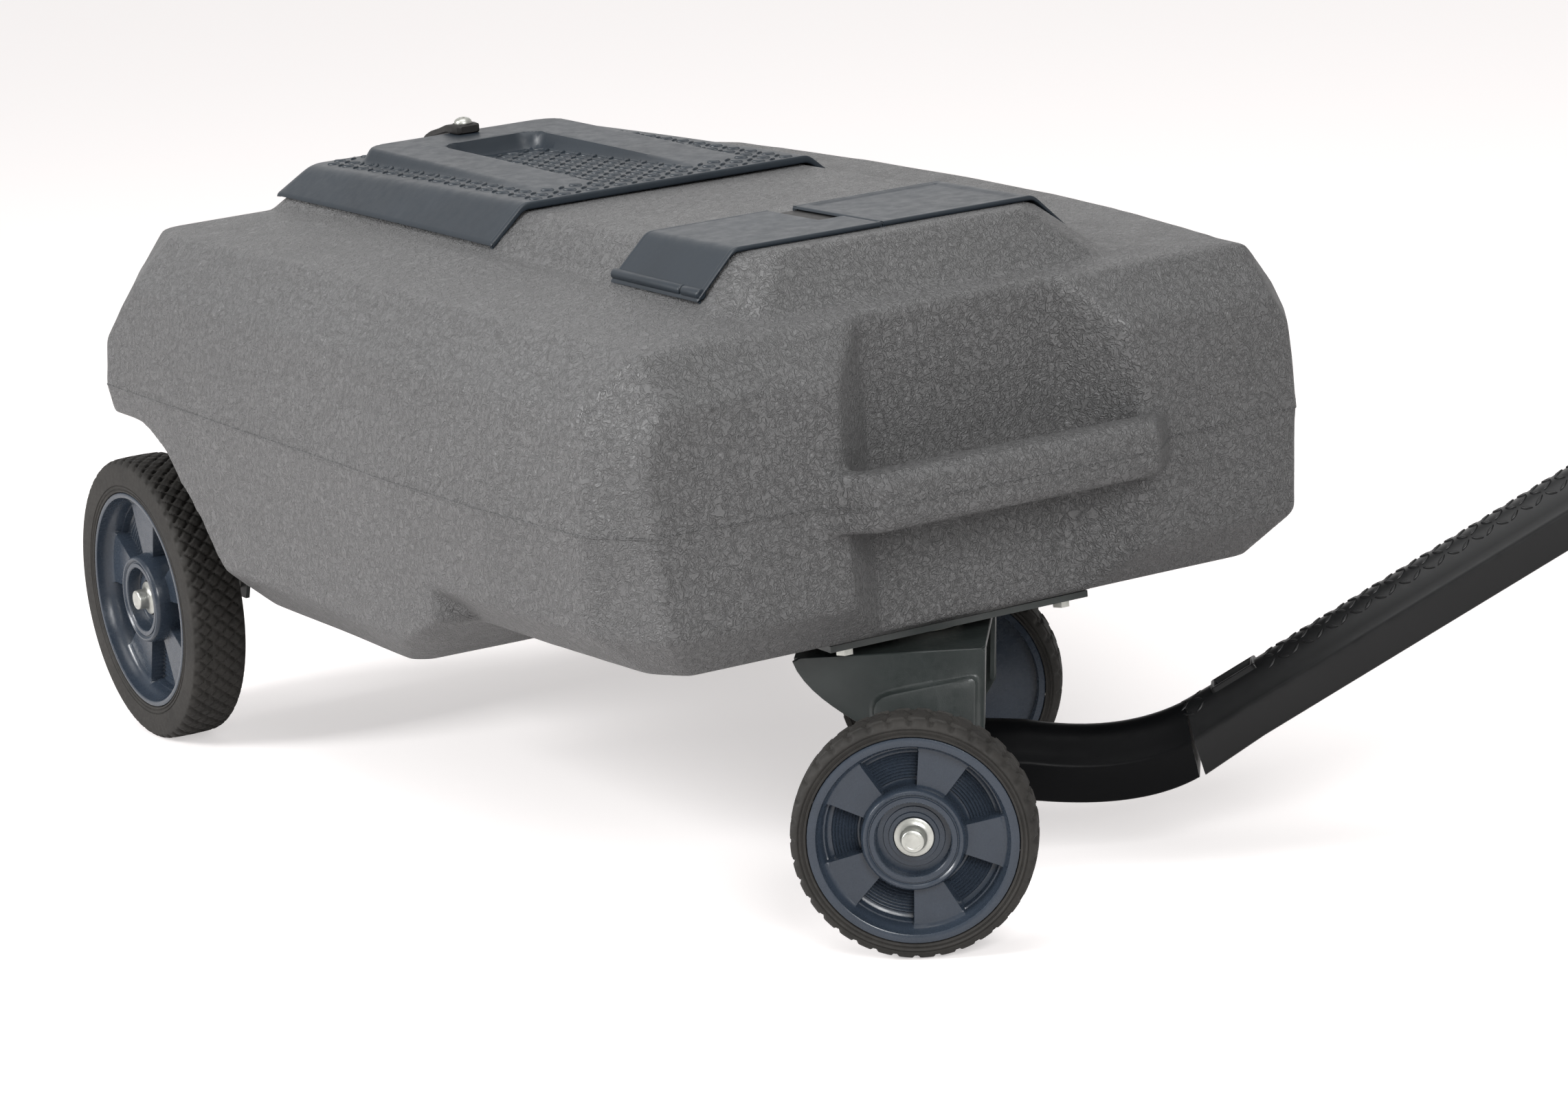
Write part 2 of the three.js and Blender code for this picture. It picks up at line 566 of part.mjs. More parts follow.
function portCap() {
  const { z, outer, reach } = PORT;
  const start = GAP - TANK_REAR + 12;
  const end = GAP - TANK_REAR + reach + 6;
  const profile = [[outer + GAP, start], [outer + 6, start], [outer + 6, end], [0, end],
    [0, end - 5.5], [outer + GAP, end - 5.5]];
  const cup = turned([...profile, profile[0]], [0, 0, z], X_AXIS.clone().negate());
  const lug = (turn) => box([-end, -start - 8], [turn * (outer + 11) - 7, turn * (outer + 11) + 7],
    [z - 9, z + 9]);
  return join(cup, lug(1), lug(-1));
}
piece('port_cap', portCap(), COVER_SLATE);

// The hose lies in its bay as a flat U, open at both ends.
function wasteHose() {
  const [z, leg, radius, wall] = [458, 54, 38, 4];
  const path = new THREE.CurvePath();
  const turnX = -742;
  const startX = -470;
  const straight = (y, from, to) => new THREE.LineCurve3(new THREE.Vector3(from, y, z),
    new THREE.Vector3(to, y, z));
  path.add(straight(-leg, startX, turnX));
  const arc = [];
  for (let i = 0; i <= 12; i += 1) {
    const angle = Math.PI * i / 12;
    arc.push(new THREE.Vector3(turnX - leg * Math.sin(angle), -leg * Math.cos(angle), z));
  }
  path.add(new THREE.CatmullRomCurve3(arc));
  path.add(straight(leg, turnX, startX));
  const tube = (r) => {
    const circle = new THREE.Shape();
    circle.absarc(0, 0, r, 0, 2 * Math.PI);
    return new THREE.ExtrudeGeometry(circle,
      { steps: 20, extrudePath: path, curveSegments: 4, bevelEnabled: false });
  };
  const bore = (y) => rod(radius - wall, [startX - 60, y, z], [startX + 10, y, z], 16);
  return cut(toSolid(tube(radius)), bore(leg), bore(-leg));
}
piece('waste_hose', wasteHose(), HOSE_BROWN);

// ---------------------------------------------------------------- wheels

// Tyre and rim about the Y axis: outward is +1 for the tote's left, -1 for its right.
function wheel(name, { radius, width, lip, face }, [x, z], outward, parent) {
  const axis = Y_AXIS.clone().multiplyScalar(outward);
  const centre = [x, 0, z];
  const [a, b] = [face - width, face];
  const tyre = [[lip + GAP, a + 2], [lip + 8, a], [radius - 5, a + 1], [radius, a + 8],
    [radius, b - 8], [radius - 5, b - 1], [lip + 8, b], [lip + GAP, b - 2]];
  piece(`${name}_tyre`, turned([...tyre, tyre[0]], centre, axis, WHEEL_SIDES), TYRE_BLACK, parent);
  const { ring, well, bore, boss } = HUB;
  const web = b - 18;
  const rim = [[bore, a + 2], [boss, a + 2], [boss, web - 7], [lip - 12, web - 7], [lip - 9, a + 3],
    [lip, a + 3], [lip, b - 1], [lip - 6, b - 1], [lip - 10, web], [ring, web], [ring - 1, b - 3],
    [well + 1, b - 3], [well, b - 14], [bore, b - 14]];
  piece(`${name}_rim`, turned([...rim, rim[0]], centre, axis, WHEEL_SIDES), RIM_NAVY, parent);
}

function axleCap(name, face, [x, z], outward, parent) {
  const { flange, boss, length, sheet } = CAP;
  const start = face - 13.4;
  const bore = AXLE_R + GAP;
  const cup = [[bore, start], [flange, start], [flange, start + sheet], [boss, start + sheet + 1],
    [boss, start + length - 2], [boss - 2, start + length], [0, start + length],
    [0, start + length - 3], [bore, start + length - 3]];
  piece(name, turned([...cup, cup[0]], [x, 0, z], Y_AXIS.clone().multiplyScalar(outward), 16),
    ZINC, parent);
}

for (const [side, turn] of bothSides) {
  wheel(`rear_${side}`, REAR_WHEEL, [REAR_AXLE.x, REAR_AXLE.z], turn, tote);
  wheel(`front_${side}`, FRONT_WHEEL, [0, FRONT_WHEEL.radius], turn, steering);
  axleCap(`rear_${side}_cap`, REAR_WHEEL.face, [REAR_AXLE.x, REAR_AXLE.z], turn, tote);
  axleCap(`front_${side}_cap`, FRONT_WHEEL.face, [0, FRONT_WHEEL.radius], turn, steering);
}

const rearReach = REAR_WHEEL.face - 2;
piece('rear_axle', rod(AXLE_R, [REAR_AXLE.x, -rearReach, REAR_AXLE.z],
  [REAR_AXLE.x, rearReach, REAR_AXLE.z]), ZINC);

// Folded steel hangers that carry the rear axle under the tail.
function axleHanger(y) {
  const [x, z] = [REAR_AXLE.x, REAR_AXLE.z];
  const { half, sheet, boltX, boltHole } = HANGER;
  const foot = TAIL_BOTTOM - GAP;
  const shape = outline([[x - 16, z - 16], [x + 16, z - 16], [x + 24, z + 4], [x + 60, foot - sheet],
    [x + boltX + 12, foot - sheet], [x + boltX + 12, foot], [x - 16, foot]]);
  const body = sweepY(shape, [y - half, y + half]);
  const between = box([x - 40, x + 58], [y - half + 4, y + half - 4], [z - 30, foot - sheet]);
  return cut(body, between, rod(AXLE_R + GAP, [x, y - 2 * half, z], [x, y + 2 * half, z]),
    rod(boltHole, [x + boltX, y, foot - 30], [x + boltX, y, foot + 18], 16));
}
for (const [side, turn] of bothSides) {
  const y = turn * HANGER.y;
  piece(`axle_hanger_${side}`, axleHanger(y), BRACKET_GREEN);
  const head = TAIL_BOTTOM - HANGER.sheet - 2 * GAP;
  const [under, end] = [head - 6, TAIL_BOTTOM - 0.6];
  piece(`hanger_bolt_${side}`, turned([[0, under], [7.5, under], [7.5, head], [3.2, head],
    [3.2, end], [0, end]], [REAR_AXLE.x + HANGER.boltX, y, 0], Z_AXIS, 6), ZINC);
}

// ---------------------------------------------------------------- steering

piece('steering_plate', cut(
  box([-PLATE.half[0], PLATE.half[0]], [-PLATE.half[1], PLATE.half[1]], PLATE.z),
  ...[1, -1].flatMap((sx) => [1, -1].map((sy) => rod(4.4, [sx * PLATE_BOLTS.x, sy * PLATE_BOLTS.y, 220],
    [sx * PLATE_BOLTS.x, sy * PLATE_BOLTS.y, 240], 16))),
  rod(KINGPIN_R + GAP, [0, 0, 220], [0, 0, 240]),
), BRACKET_GREEN);

let boltNumber = 1;
for (const sx of [1, -1]) {
  for (const sy of [1, -1]) {
    const under = PLATE.z[0] - GAP;
    piece(`plate_bolt_${boltNumber}`, turned([[0, under - PLATE_BOLTS.head],
      [PLATE_BOLTS.radius, under - PLATE_BOLTS.head], [PLATE_BOLTS.radius, under], [4, under],
      [4, PLATE.z[1]], [0, PLATE.z[1]]],
    [sx * PLATE_BOLTS.x, sy * PLATE_BOLTS.y, 0], Z_AXIS, 6), ZINC);
    boltNumber += 1;
  }
}

const kingpinHole = rod(KINGPIN_R + GAP, [0, 0, KINGPIN_END - 6], [0, 0, PLATE.z[1] + 8]);
piece('kingpin', rod(KINGPIN_R, [0, 0, KINGPIN_END], [0, 0, PLATE.z[1]]), ZINC);
piece('bearing_washer', cut(
  rod(BEARING.radius, [0, 0, BEARING.z[0]], [0, 0, BEARING.z[1]]),
  kingpinHole,
), ZINC);
piece('kingpin_nut', cut(
  rod(NUT.radius, [0, 0, NUT.z[0]], [0, 0, NUT.z[1]], 6),
  kingpinHole,
), ZINC);

// Pressed saddle: two cheek plates on a top plate, with a flange at the front edge.
function steeringBracket() {
  const { top, sheet, halfWidth } = SADDLE;
  const cheek = new THREE.Shape();
  cheek.moveTo(-106, top);
  cheek.quadraticCurveTo(-100, 186, -46, 152);
  cheek.lineTo(-36, 96);
  cheek.absarc(0, FRONT_WHEEL.radius, 26, Math.PI, 2 * Math.PI, false);
  cheek.lineTo(38, 118);
  cheek.lineTo(52, 140);
  cheek.lineTo(58, top);
  const cheeks = bothSides.map(([, turn]) => {
    const edges = [turn * halfWidth, turn * (halfWidth - sheet)].sort((p, q) => p - q);
    return sweepY(cheek, edges);
  });
  const roof = sweepZ(outline([[-106, -halfWidth], [58, -halfWidth], [58, halfWidth],
    [-106, halfWidth]]), [top - sheet, top]);
  const flanges = bothSides.map(([, turn]) => {
    const edges = [turn * halfWidth, turn * (halfWidth - 24)].sort((p, q) => p - q);
    return sweepY(outline([[48, 144], [52, 144], [58, top], [54, top]]), edges);
  });
  const axle = FRONT_WHEEL.radius;
  return cut(join(roof, ...cheeks, ...flanges),
    rod(KINGPIN_R + GAP, [0, 0, 190], [0, 0, 230]),
    rod(AXLE_R + GAP, [0, -halfWidth - 10, axle], [0, halfWidth + 10, axle]));
}
piece('steering_bracket', steeringBracket(), BRACKET_GREEN, steering);

const frontReach = FRONT_WHEEL.face - 2;
piece('front_axle', rod(AXLE_R, [0, -frontReach, FRONT_WHEEL.radius],
  [0, frontReach, FRONT_WHEEL.radius]), ZINC, steering);

function sleeve(from, to, turn) {
  const z = FRONT_WHEEL.radius;
  return cut(rod(13, [0, turn * from, z], [0, turn * to, z], 24),
    rod(AXLE_R + GAP, [0, turn * (from - 5), z], [0, turn * (to + 5), z]));
}
for (const [side, turn] of bothSides) {
  piece(`inner_sleeve_${side}`, sleeve(DRAWBAR_HALF + GAP, SADDLE.halfWidth - SADDLE.sheet - GAP,
    turn), BRACKET_GREEN, steering);
  piece(`outer_sleeve_${side}`, sleeve(SADDLE.halfWidth + GAP,
    FRONT_WHEEL.face - FRONT_WHEEL.width + 2 - GAP, turn), BRACKET_GREEN, steering);
}

// ---------------------------------------------------------------- tow handle

// Bent drawbar that turns on the front axle and ends in the seam.
function drawbar() {
  const axle = FRONT_WHEEL.radius;
  const shape = new THREE.Shape();
  shape.moveTo(0, axle + 31);
  shape.absarc(0, axle, 31, Math.PI / 2, 1.5 * Math.PI, false);
  shape.lineTo(90, 62);
  shape.quadraticCurveTo(178, 50, ...SEAM_LINE[2]);
  shape.lineTo(...SEAM_LINE[1]);
  shape.lineTo(...SEAM_LINE[0]);
  shape.quadraticCurveTo(160, 108, 80, 126);
  const side = new THREE.ExtrudeGeometry(shape, { depth: 2 * DRAWBAR_HALF - 16, bevelEnabled: true,
    bevelThickness: 8, bevelSize: 7, bevelOffset: -7, bevelSegments: 1, curveSegments: 5 });
  side.applyMatrix4(new THREE.Matrix4().makeBasis(X_AXIS, Z_AXIS, Y_AXIS.clone().negate()));
  side.translate(0, DRAWBAR_HALF - 8, 0);
  return cut(toSolid(side), rod(HUB.bore, [0, -60, axle], [0, 60, axle]));
}
piece('drawbar', drawbar(), BAR_BLACK, steering);

const arm = new THREE.Group();
arm.position.set(SEAM.s, 0, SEAM.z);
arm.rotation.y = -HANDLE_PITCH;
steering.add(arm);

// A [forward, height] point of the steering frame, seen in the arm's frame.
function toArm([s, z]) {
  const point = new THREE.Vector2(s - SEAM.s, z - SEAM.z);
  point.rotateAround(new THREE.Vector2(), -HANDLE_PITCH);
  return point.toArray();
}

// Straight arm along the group's +X, with an arched crown, a latch slot and two end prongs.
function handleArm() {
  const { length, half, below, shoulder, crown } = ARM;
  const beyond = 240;             // well past the arm's root
  const section = new THREE.Shape();
  section.moveTo(-half + 5, -below);
  section.lineTo(half - 5, -below);
  section.quadraticCurveTo(half, -below, half, -below + 5);
  section.lineTo(half, shoulder);
  section.bezierCurveTo(half - 3, crown * 0.75, half * 0.45, crown, 0, crown);
  section.bezierCurveTo(-half * 0.45, crown, 3 - half, crown * 0.75, -half, shoulder);
  section.lineTo(-half, -below + 5);
  section.quadraticCurveTo(-half, -below, -half + 5, -below);
  const slot = box([ARM_SLOT.from, ARM_SLOT.from + ARM_SLOT.length], [-ARM_SLOT.half, ARM_SLOT.half],
    [-10, 60]);
  const [top, middle, foot] = SEAM_LINE;
  const relief = sweepY(outline([[100, 20], [foot[0] + SEAM_WEDGE, 20],
    [foot[0] + SEAM_WEDGE, foot[1]], [middle[0] + GAP * 2, middle[1]], [top[0] + GAP * 2, top[1]],
    [top[0] + GAP * 2, beyond], [100, beyond]].map(toArm)), [-80, 80]);
  const prong = (turn) => sweepZ(outline([[length - 30, turn * 8], [length - 30, turn * half],
    [length + GRIP.spread, turn * GRIP.half], [length + GRIP.spread, turn * (GRIP.half - 22)]]),
  [-14, 12]);
  return cut(join(sweepX(section, [-30, length]), prong(1), prong(-1),
    rod(13, [length + GRIP.spread - 2, -GRIP.half, -1], [length + GRIP.spread - 2, GRIP.half, -1])),
  slot, relief);
}
piece('handle_arm', handleArm(), BAR_BLACK, arm);

const gripX = ARM.length + GRIP.spread - 2;
const gripHalf = GRIP.sleeve;
piece('handle_grip', cut(
  rod(GRIP.radius, [gripX, -gripHalf, -1], [gripX, gripHalf, -1], 24),
  rod(13 + GAP, [gripX, -gripHalf - 5, -1], [gripX, gripHalf + 5, -1]),
), RUBBER_BLACK, arm);

export default tote;
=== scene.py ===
"""Looks for the portable waste tote: surfaces, materials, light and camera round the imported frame.

Lengths in the mesh code are millimetres from the point on the floor straight under the kingpin.
make() turns them into metres and puts the piece in the row frame.
"""
import json
import math

import bmesh
import bpy
import numpy as np
from mathutils import Matrix, Vector, noise


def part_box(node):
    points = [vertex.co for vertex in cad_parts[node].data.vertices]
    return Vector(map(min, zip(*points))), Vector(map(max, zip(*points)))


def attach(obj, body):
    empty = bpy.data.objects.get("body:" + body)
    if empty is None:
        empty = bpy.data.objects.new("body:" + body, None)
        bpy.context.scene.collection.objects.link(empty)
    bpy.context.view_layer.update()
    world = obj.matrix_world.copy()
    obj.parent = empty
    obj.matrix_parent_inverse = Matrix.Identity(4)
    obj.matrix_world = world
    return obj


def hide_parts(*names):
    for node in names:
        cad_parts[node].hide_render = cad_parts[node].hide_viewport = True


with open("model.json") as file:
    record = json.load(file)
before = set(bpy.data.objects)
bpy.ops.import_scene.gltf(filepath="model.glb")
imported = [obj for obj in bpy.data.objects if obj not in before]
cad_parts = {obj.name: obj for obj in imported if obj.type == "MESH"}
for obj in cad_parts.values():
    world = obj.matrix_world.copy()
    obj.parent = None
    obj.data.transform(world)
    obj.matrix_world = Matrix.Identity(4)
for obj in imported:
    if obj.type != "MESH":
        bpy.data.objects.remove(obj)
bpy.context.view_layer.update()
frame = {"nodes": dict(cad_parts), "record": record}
kingpin_low, kingpin_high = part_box("kingpin")
DATUM = Vector(((kingpin_low.x + kingpin_high.x) / 2, (kingpin_low.y + kingpin_high.y) / 2, 0))

MM = 0.001
FRONT_AXLE_Z = 101.6
REAR_AXLE = (-932.0, 139.8)       # place along the tote and height
GAP = 0.35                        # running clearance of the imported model
STEER_REST = math.radians(54.9)   # the front axle is turned to the left at rest
HANDLE_PITCH = math.radians(29.2)
STEER_TURN = Matrix.Rotation(STEER_REST, 4, "Z")


# ---------------------------------------------------------------- materials

def mix_colour(tree, factor, low, high):
    ramp = tree.nodes.new("ShaderNodeMix")
    ramp.data_type = "RGBA"
    ramp.inputs["A"].default_value = (*low, 1)
    ramp.inputs["B"].default_value = (*high, 1)
    tree.links.new(factor, ramp.inputs["Factor"])
    return ramp.outputs["Result"]


def add_noise(tree, coords, scale, detail=3.0, rough=0.55, distort=0.0):
    node = tree.nodes.new("ShaderNodeTexNoise")
    node.inputs["Scale"].default_value = scale
    node.inputs["Detail"].default_value = detail
    node.inputs["Roughness"].default_value = rough
    node.inputs["Distortion"].default_value = distort
    tree.links.new(coords, node.inputs["Vector"])
    return node.outputs["Fac"]


def remap(tree, value, low, high, to_low, to_high):
    node = tree.nodes.new("ShaderNodeMapRange")
    node.inputs["From Min"].default_value = low
    node.inputs["From Max"].default_value = high
    node.inputs["To Min"].default_value = to_low
    node.inputs["To Max"].default_value = to_high
    tree.links.new(value, node.inputs["Value"])
    return node.outputs["Result"]


def add_bump(tree, height, distance, strength, below=None):
    node = tree.nodes.new("ShaderNodeBump")
    node.inputs["Distance"].default_value = distance
    node.inputs["Strength"].default_value = strength
    tree.links.new(height, node.inputs["Height"])
    if below is not None:
        tree.links.new(below, node.inputs["Normal"])
    return node.outputs["Normal"]


def material(name, colour, rough, metal=0.0, spread=0.12, rough_spread=0.06, grain=None, fine=None,
             blotch=9.0, spec=0.5):
    """Base colour with slow variation, uneven roughness, and up to two layers of relief.
    grain (leathery folds) and fine (specks) are (scale per metre, depth in metres, strength)."""
    made = bpy.data.materials.new(name)
    made.use_nodes = True
    tree = made.node_tree
    bsdf = tree.nodes["Principled BSDF"]
    coords = tree.nodes.new("ShaderNodeTexCoord").outputs["Object"]
    slow = add_noise(tree, coords, blotch, 4.0)
    low = [c * (1 - spread) for c in colour]
    high = [min(1.0, c * (1 + spread)) for c in colour]
    tree.links.new(mix_colour(tree, remap(tree, slow, 0.3, 0.7, 0, 1), low, high),
                   bsdf.inputs["Base Color"])
    scuff = add_noise(tree, coords, blotch * 7, 5.0, 0.65)
    tree.links.new(remap(tree, scuff, 0.3, 0.7, rough - rough_spread, rough + rough_spread),
                   bsdf.inputs["Roughness"])
    bsdf.inputs["Metallic"].default_value = metal
    bsdf.inputs["Specular IOR Level"].default_value = spec
    normal = None
    if grain:
        scale, depth, strength = grain
        wrinkles = add_noise(tree, coords, scale, 2.0, 0.6, 1.3)
        fold = tree.nodes.new("ShaderNodeMath")
        fold.operation = "PINGPONG"
        fold.inputs[1].default_value = 0.5
        tree.links.new(wrinkles, fold.inputs[0])
        normal = add_bump(tree, remap(tree, fold.outputs["Value"], 0.38, 0.5, 1, 0), depth, strength)
    if fine:
        scale, depth, strength = fine
        normal = add_bump(tree, add_noise(tree, coords, scale, 2.0), depth, strength, normal)
    if normal is not None:
        tree.links.new(normal, bsdf.inputs["Normal"])
    return made


LOOKS = {
    "tank_grey": material("tank_plastic", (0.097, 0.097, 0.098), 0.44, spread=0.04,
                          grain=(150, 0.0011, 1.0), fine=(700, 0.00025, 0.8), blotch=4, spec=0.46),
    "cover_slate": material("cover_plastic", (0.013, 0.019, 0.026), 0.4, spread=0.1,
                            fine=(1100, 0.00005, 0.5), blotch=11, spec=0.42),
    "rim_navy": material("rim_plastic", (0.024, 0.033, 0.047), 0.27, spread=0.12,
                         fine=(700, 0.00004, 0.3), blotch=20, spec=0.5),
    "tyre_black": material("tyre_rubber", (0.019, 0.0175, 0.0155), 0.72, spread=0.25,
                           rough_spread=0.1, fine=(1500, 0.00012, 0.6), blotch=30, spec=0.35),
    "bar_black": material("bar_plastic", (0.0045, 0.0048, 0.0052), 0.36, spread=0.12,
                          fine=(900, 0.00005, 0.4), blotch=14, spec=0.3),
    # painted shade: the drawbar's copy of the bar plastic is darker and has its reflection cut, standing
    # in for the shade the drawbar sits in
    "drawbar": material("drawbar_plastic_shaded", (0.0026, 0.0028, 0.0032), 0.36, spread=0.12,
                        fine=(900, 0.00005, 0.4), blotch=14, spec=0.08),
    "rubber_black": material("strap_rubber", (0.009, 0.0085, 0.008), 0.5, spread=0.2,
                             fine=(1600, 0.0001, 0.5), blotch=40, spec=0.4),
    "bracket_green": material("bracket_paint", (0.024, 0.03, 0.029), 0.38, spread=0.16,
                              fine=(1000, 0.00009, 0.6), blotch=26, spec=0.55),
    "zinc": material("zinc_plate", (0.5, 0.505, 0.47), 0.36, metal=0.85, spread=0.14,
                     rough_spread=0.1, fine=(2400, 0.00004, 0.5), blotch=90),
    "hose_brown": material("hose_plastic", (0.07, 0.028, 0.015), 0.42, spread=0.15,
                           fine=(800, 0.00005, 0.4), blotch=16),
    "needle_red": material("needle_enamel", (0.5, 0.03, 0.02), 0.35, spread=0.06, blotch=60),
}


def clear_material():
    made = material("gauge_lens", (0.86, 0.9, 0.92), 0.06, spread=0.02, rough_spread=0.03, blotch=50)
    bsdf = made.node_tree.nodes["Principled BSDF"]
    bsdf.inputs["Transmission Weight"].default_value = 0.92
    bsdf.inputs["IOR"].default_value = 1.3
    bsdf.inputs["Alpha"].default_value = 0.35
    return made


LOOKS["clear"] = clear_material()


# ---------------------------------------------------------------- mesh helpers

SHARP = 34                        # edges sharper than this many degrees keep a hard line


def lattice(points, close_rows=False, close_cols=False):
    """Vertices and quads of a rows x cols x 3 array of points."""
    points = np.asarray(points, float)
    rows, cols = points.shape[:2]
    i = np.arange(rows if close_rows else rows - 1)[:, None]
    j = np.arange(cols if close_cols else cols - 1)[None, :]
    i1, j1 = (i + 1) % rows, (j + 1) % cols
    quads = np.stack([i * cols + j, i * cols + j1, i1 * cols + j1, i1 * cols + j], -1)
    return points.reshape(-1, 3), quads.reshape(-1, 4).tolist()


def loft(rings):
    """A closed skin through a list of equal closed rings, with flat ends."""
    verts, faces = lattice(rings, close_cols=True)
    cols = len(rings[0])
    faces.append(list(range(cols))[::-1])
    faces.append(list(range(len(verts) - cols, len(verts))))
    return verts, faces


def combine(*parts):
    verts, faces, offset = [], [], 0
    for part_verts, part_faces in parts:
        verts.append(np.asarray(part_verts, float))
        faces += [[v + offset for v in face] for face in part_faces]
        offset += len(part_verts)
    return np.concatenate(verts), faces


def turn_part(part, matrix):
    verts, faces = part
    m = np.array(matrix)
    return verts @ m[:3, :3].T + m[:3, 3], faces


def fillet(points, radius, steps=3):
    """Rounds the corners of a 2-D outline. A point may carry its own radius as a third value."""
    out, count = [], len(points)
    for i, point in enumerate(points):
        p = np.array(point[:2], float)
        own = point[2] if len(point) > 2 else radius
        if own <= 0:
            out.append(p)
            continue
        before = np.array(points[i - 1][:2], float) - p
        after = np.array(points[(i + 1) % count][:2], float) - p
        la, lb = np.linalg.norm(before), np.linalg.norm(after)
        start = p + before / la * min(own, la * 0.46)
        end = p + after / lb * min(own, lb * 0.46)
        for k in range(steps + 1):
            t = k / steps
            out.append((1 - t) ** 2 * start + 2 * t * (1 - t) * p + t * t * end)
    return np.array(out)


def revolve(profile, sides=64):
    """A closed (radius, height) outline turned about Z."""
    profile = np.asarray(profile, float)
    angle = np.linspace(0, 2 * math.pi, sides, endpoint=False)[:, None]
    points = np.stack([profile[None, :, 0] * np.cos(angle), profile[None, :, 0] * np.sin(angle),
                       np.broadcast_to(profile[None, :, 1], (sides, len(profile)))], -1)
    return lattice(points, close_rows=True, close_cols=True)


def turned(outline, radius, sides, place=None, steps=3):
    """A filleted (radius, height) outline turned about Z, then moved to its place."""
    part = revolve(fillet(outline, radius, steps), sides)
    return part if place is None else turn_part(part, place)


def block(low, high, radius):
    """A box with rounded vertical edges and softened ends."""
    (x0, y0, z0), (x1, y1, z1) = low, high
    cx, cy = (x0 + x1) / 2, (y0 + y1) / 2
    rings = []
    soft = min(radius, (z1 - z0) / 2.5)
    for z, inset in ((z0, soft), (z0 + soft * 0.4, soft * 0.25), (z0 + soft, 0), (z1 - soft, 0),
                     (z1 - soft * 0.4, soft * 0.25), (z1, soft)):
        a, b = (x1 - x0) / 2 - inset, (y1 - y0) / 2 - inset
        ring = fillet([(-a, -b), (a, -b), (a, b), (-a, b)], radius)
        rings.append([(cx + x, cy + y, z) for x, y in ring])
    return loft(rings)


def axis_frame(centre, axis):
    """Matrix that takes local +Z to axis and the origin to centre, in millimetres."""
    turn = Vector((0, 0, 1)).rotation_difference(Vector(axis)).to_matrix().to_4x4()
    return Matrix.Translation(Vector(centre)) @ turn


def make(name, parts, body, slot, stands_for=(), place=Matrix(), sharp=SHARP, look=None):
    """One piece of the visual model from a list of closed parts, riding on a body of the frame."""
    verts, faces = turn_part(combine(*parts), place)
    mesh = bpy.data.meshes.new(name)
    mesh.from_pydata((np.asarray(verts) * MM).tolist(), [], faces)
    bm = bmesh.new()
    bm.from_mesh(mesh)
    bmesh.ops.remove_doubles(bm, verts=bm.verts, dist=2e-6)
    bmesh.ops.dissolve_degenerate(bm, dist=1e-6, edges=bm.edges)
    loose = [v for v in bm.verts if not v.link_faces]
    bmesh.ops.delete(bm, geom=loose, context="VERTS")
    bmesh.ops.recalc_face_normals(bm, faces=bm.faces)
    bm.to_mesh(mesh)
    bm.free()
    finish_mesh(mesh, look or slot, sharp)
    piece = bpy.data.objects.new(name, mesh)
    piece.location = DATUM
    bpy.context.scene.collection.objects.link(piece)
    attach(piece, body)
    if stands_for:
        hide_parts(*stands_for)
    return piece


def finish_mesh(mesh, look, sharp):
    mesh.materials.clear()
    mesh.materials.append(LOOKS[look])
    mesh.shade_smooth()
    mesh.set_sharp_from_angle(angle=math.radians(sharp))
    mesh.update()


def smooth_step(value, low, high):
    t = np.clip((value - low) / (high - low), 0, 1)
    return t * t * (3 - 2 * t)


def smooth_min(a, b, radius):
    h = np.clip(0.5 + 0.5 * (b - a) / radius, 0, 1)
    return b * (1 - h) + a * h - radius * h * (1 - h)


def apply_modifiers(piece):
    bpy.context.view_layer.update()
    depsgraph = bpy.context.evaluated_depsgraph_get()
    old = piece.data
    piece.data = bpy.data.meshes.new_from_object(piece.evaluated_get(depsgraph))
    piece.modifiers.clear()
    bpy.data.meshes.remove(old)


def boolean_cut(piece, part):
    """Cuts a closed part out of a piece and keeps the result as the piece's mesh."""
    verts, faces = part
    mesh = bpy.data.meshes.new("cutter")
    mesh.from_pydata((np.asarray(verts) * MM).tolist(), [], faces)
    bm = bmesh.new()
    bm.from_mesh(mesh)
    bmesh.ops.recalc_face_normals(bm, faces=bm.faces)
    bm.to_mesh(mesh)
    bm.free()
    cutter = bpy.data.objects.new("cutter", mesh)
    cutter.location = DATUM
    bpy.context.scene.collection.objects.link(cutter)
    modifier = piece.modifiers.new("cut", "BOOLEAN")
    modifier.object = cutter
    modifier.solver = "EXACT"
    apply_modifiers(piece)
    bpy.data.objects.remove(cutter)
    bpy.data.meshes.remove(mesh)


# ---------------------------------------------------------------- tank

TANK_VOXEL = 4.0
TANK_SMOOTHING = 5
TANK_SWELL = (7.0, 0.0009)        # slow waviness of the moulded walls: scale per metre, metres
# Discs that close the shell's openings before it is remeshed: centre, axis, radius, thickness.
TANK_PLUGS = (((-938, 0, 262), (1, 0, 0), 43, 12), ((-92, -92, 513), (0, 0, 1), 18, 6),
              ((-92, -38, 513), (0, 0, 1), 15, 6))
PART_LINE = 367.0                 # height of the mould line


def relaxed(co, edges, rounds, share=0.5):
    """Moves each vertex towards the mean of its neighbours, a few times."""
    count = len(co)
    a, b = edges[:, 0], edges[:, 1]
    degree = np.bincount(np.concatenate([a, b]), minlength=count)[:, None]
    for _ in range(rounds):
        total = np.zeros_like(co)
        for axis in range(3):
            total[:, axis] = (np.bincount(a, co[b, axis], count)
                              + np.bincount(b, co[a, axis], count))
        co = co + share * (total / np.maximum(degree, 1) - co)
    return co


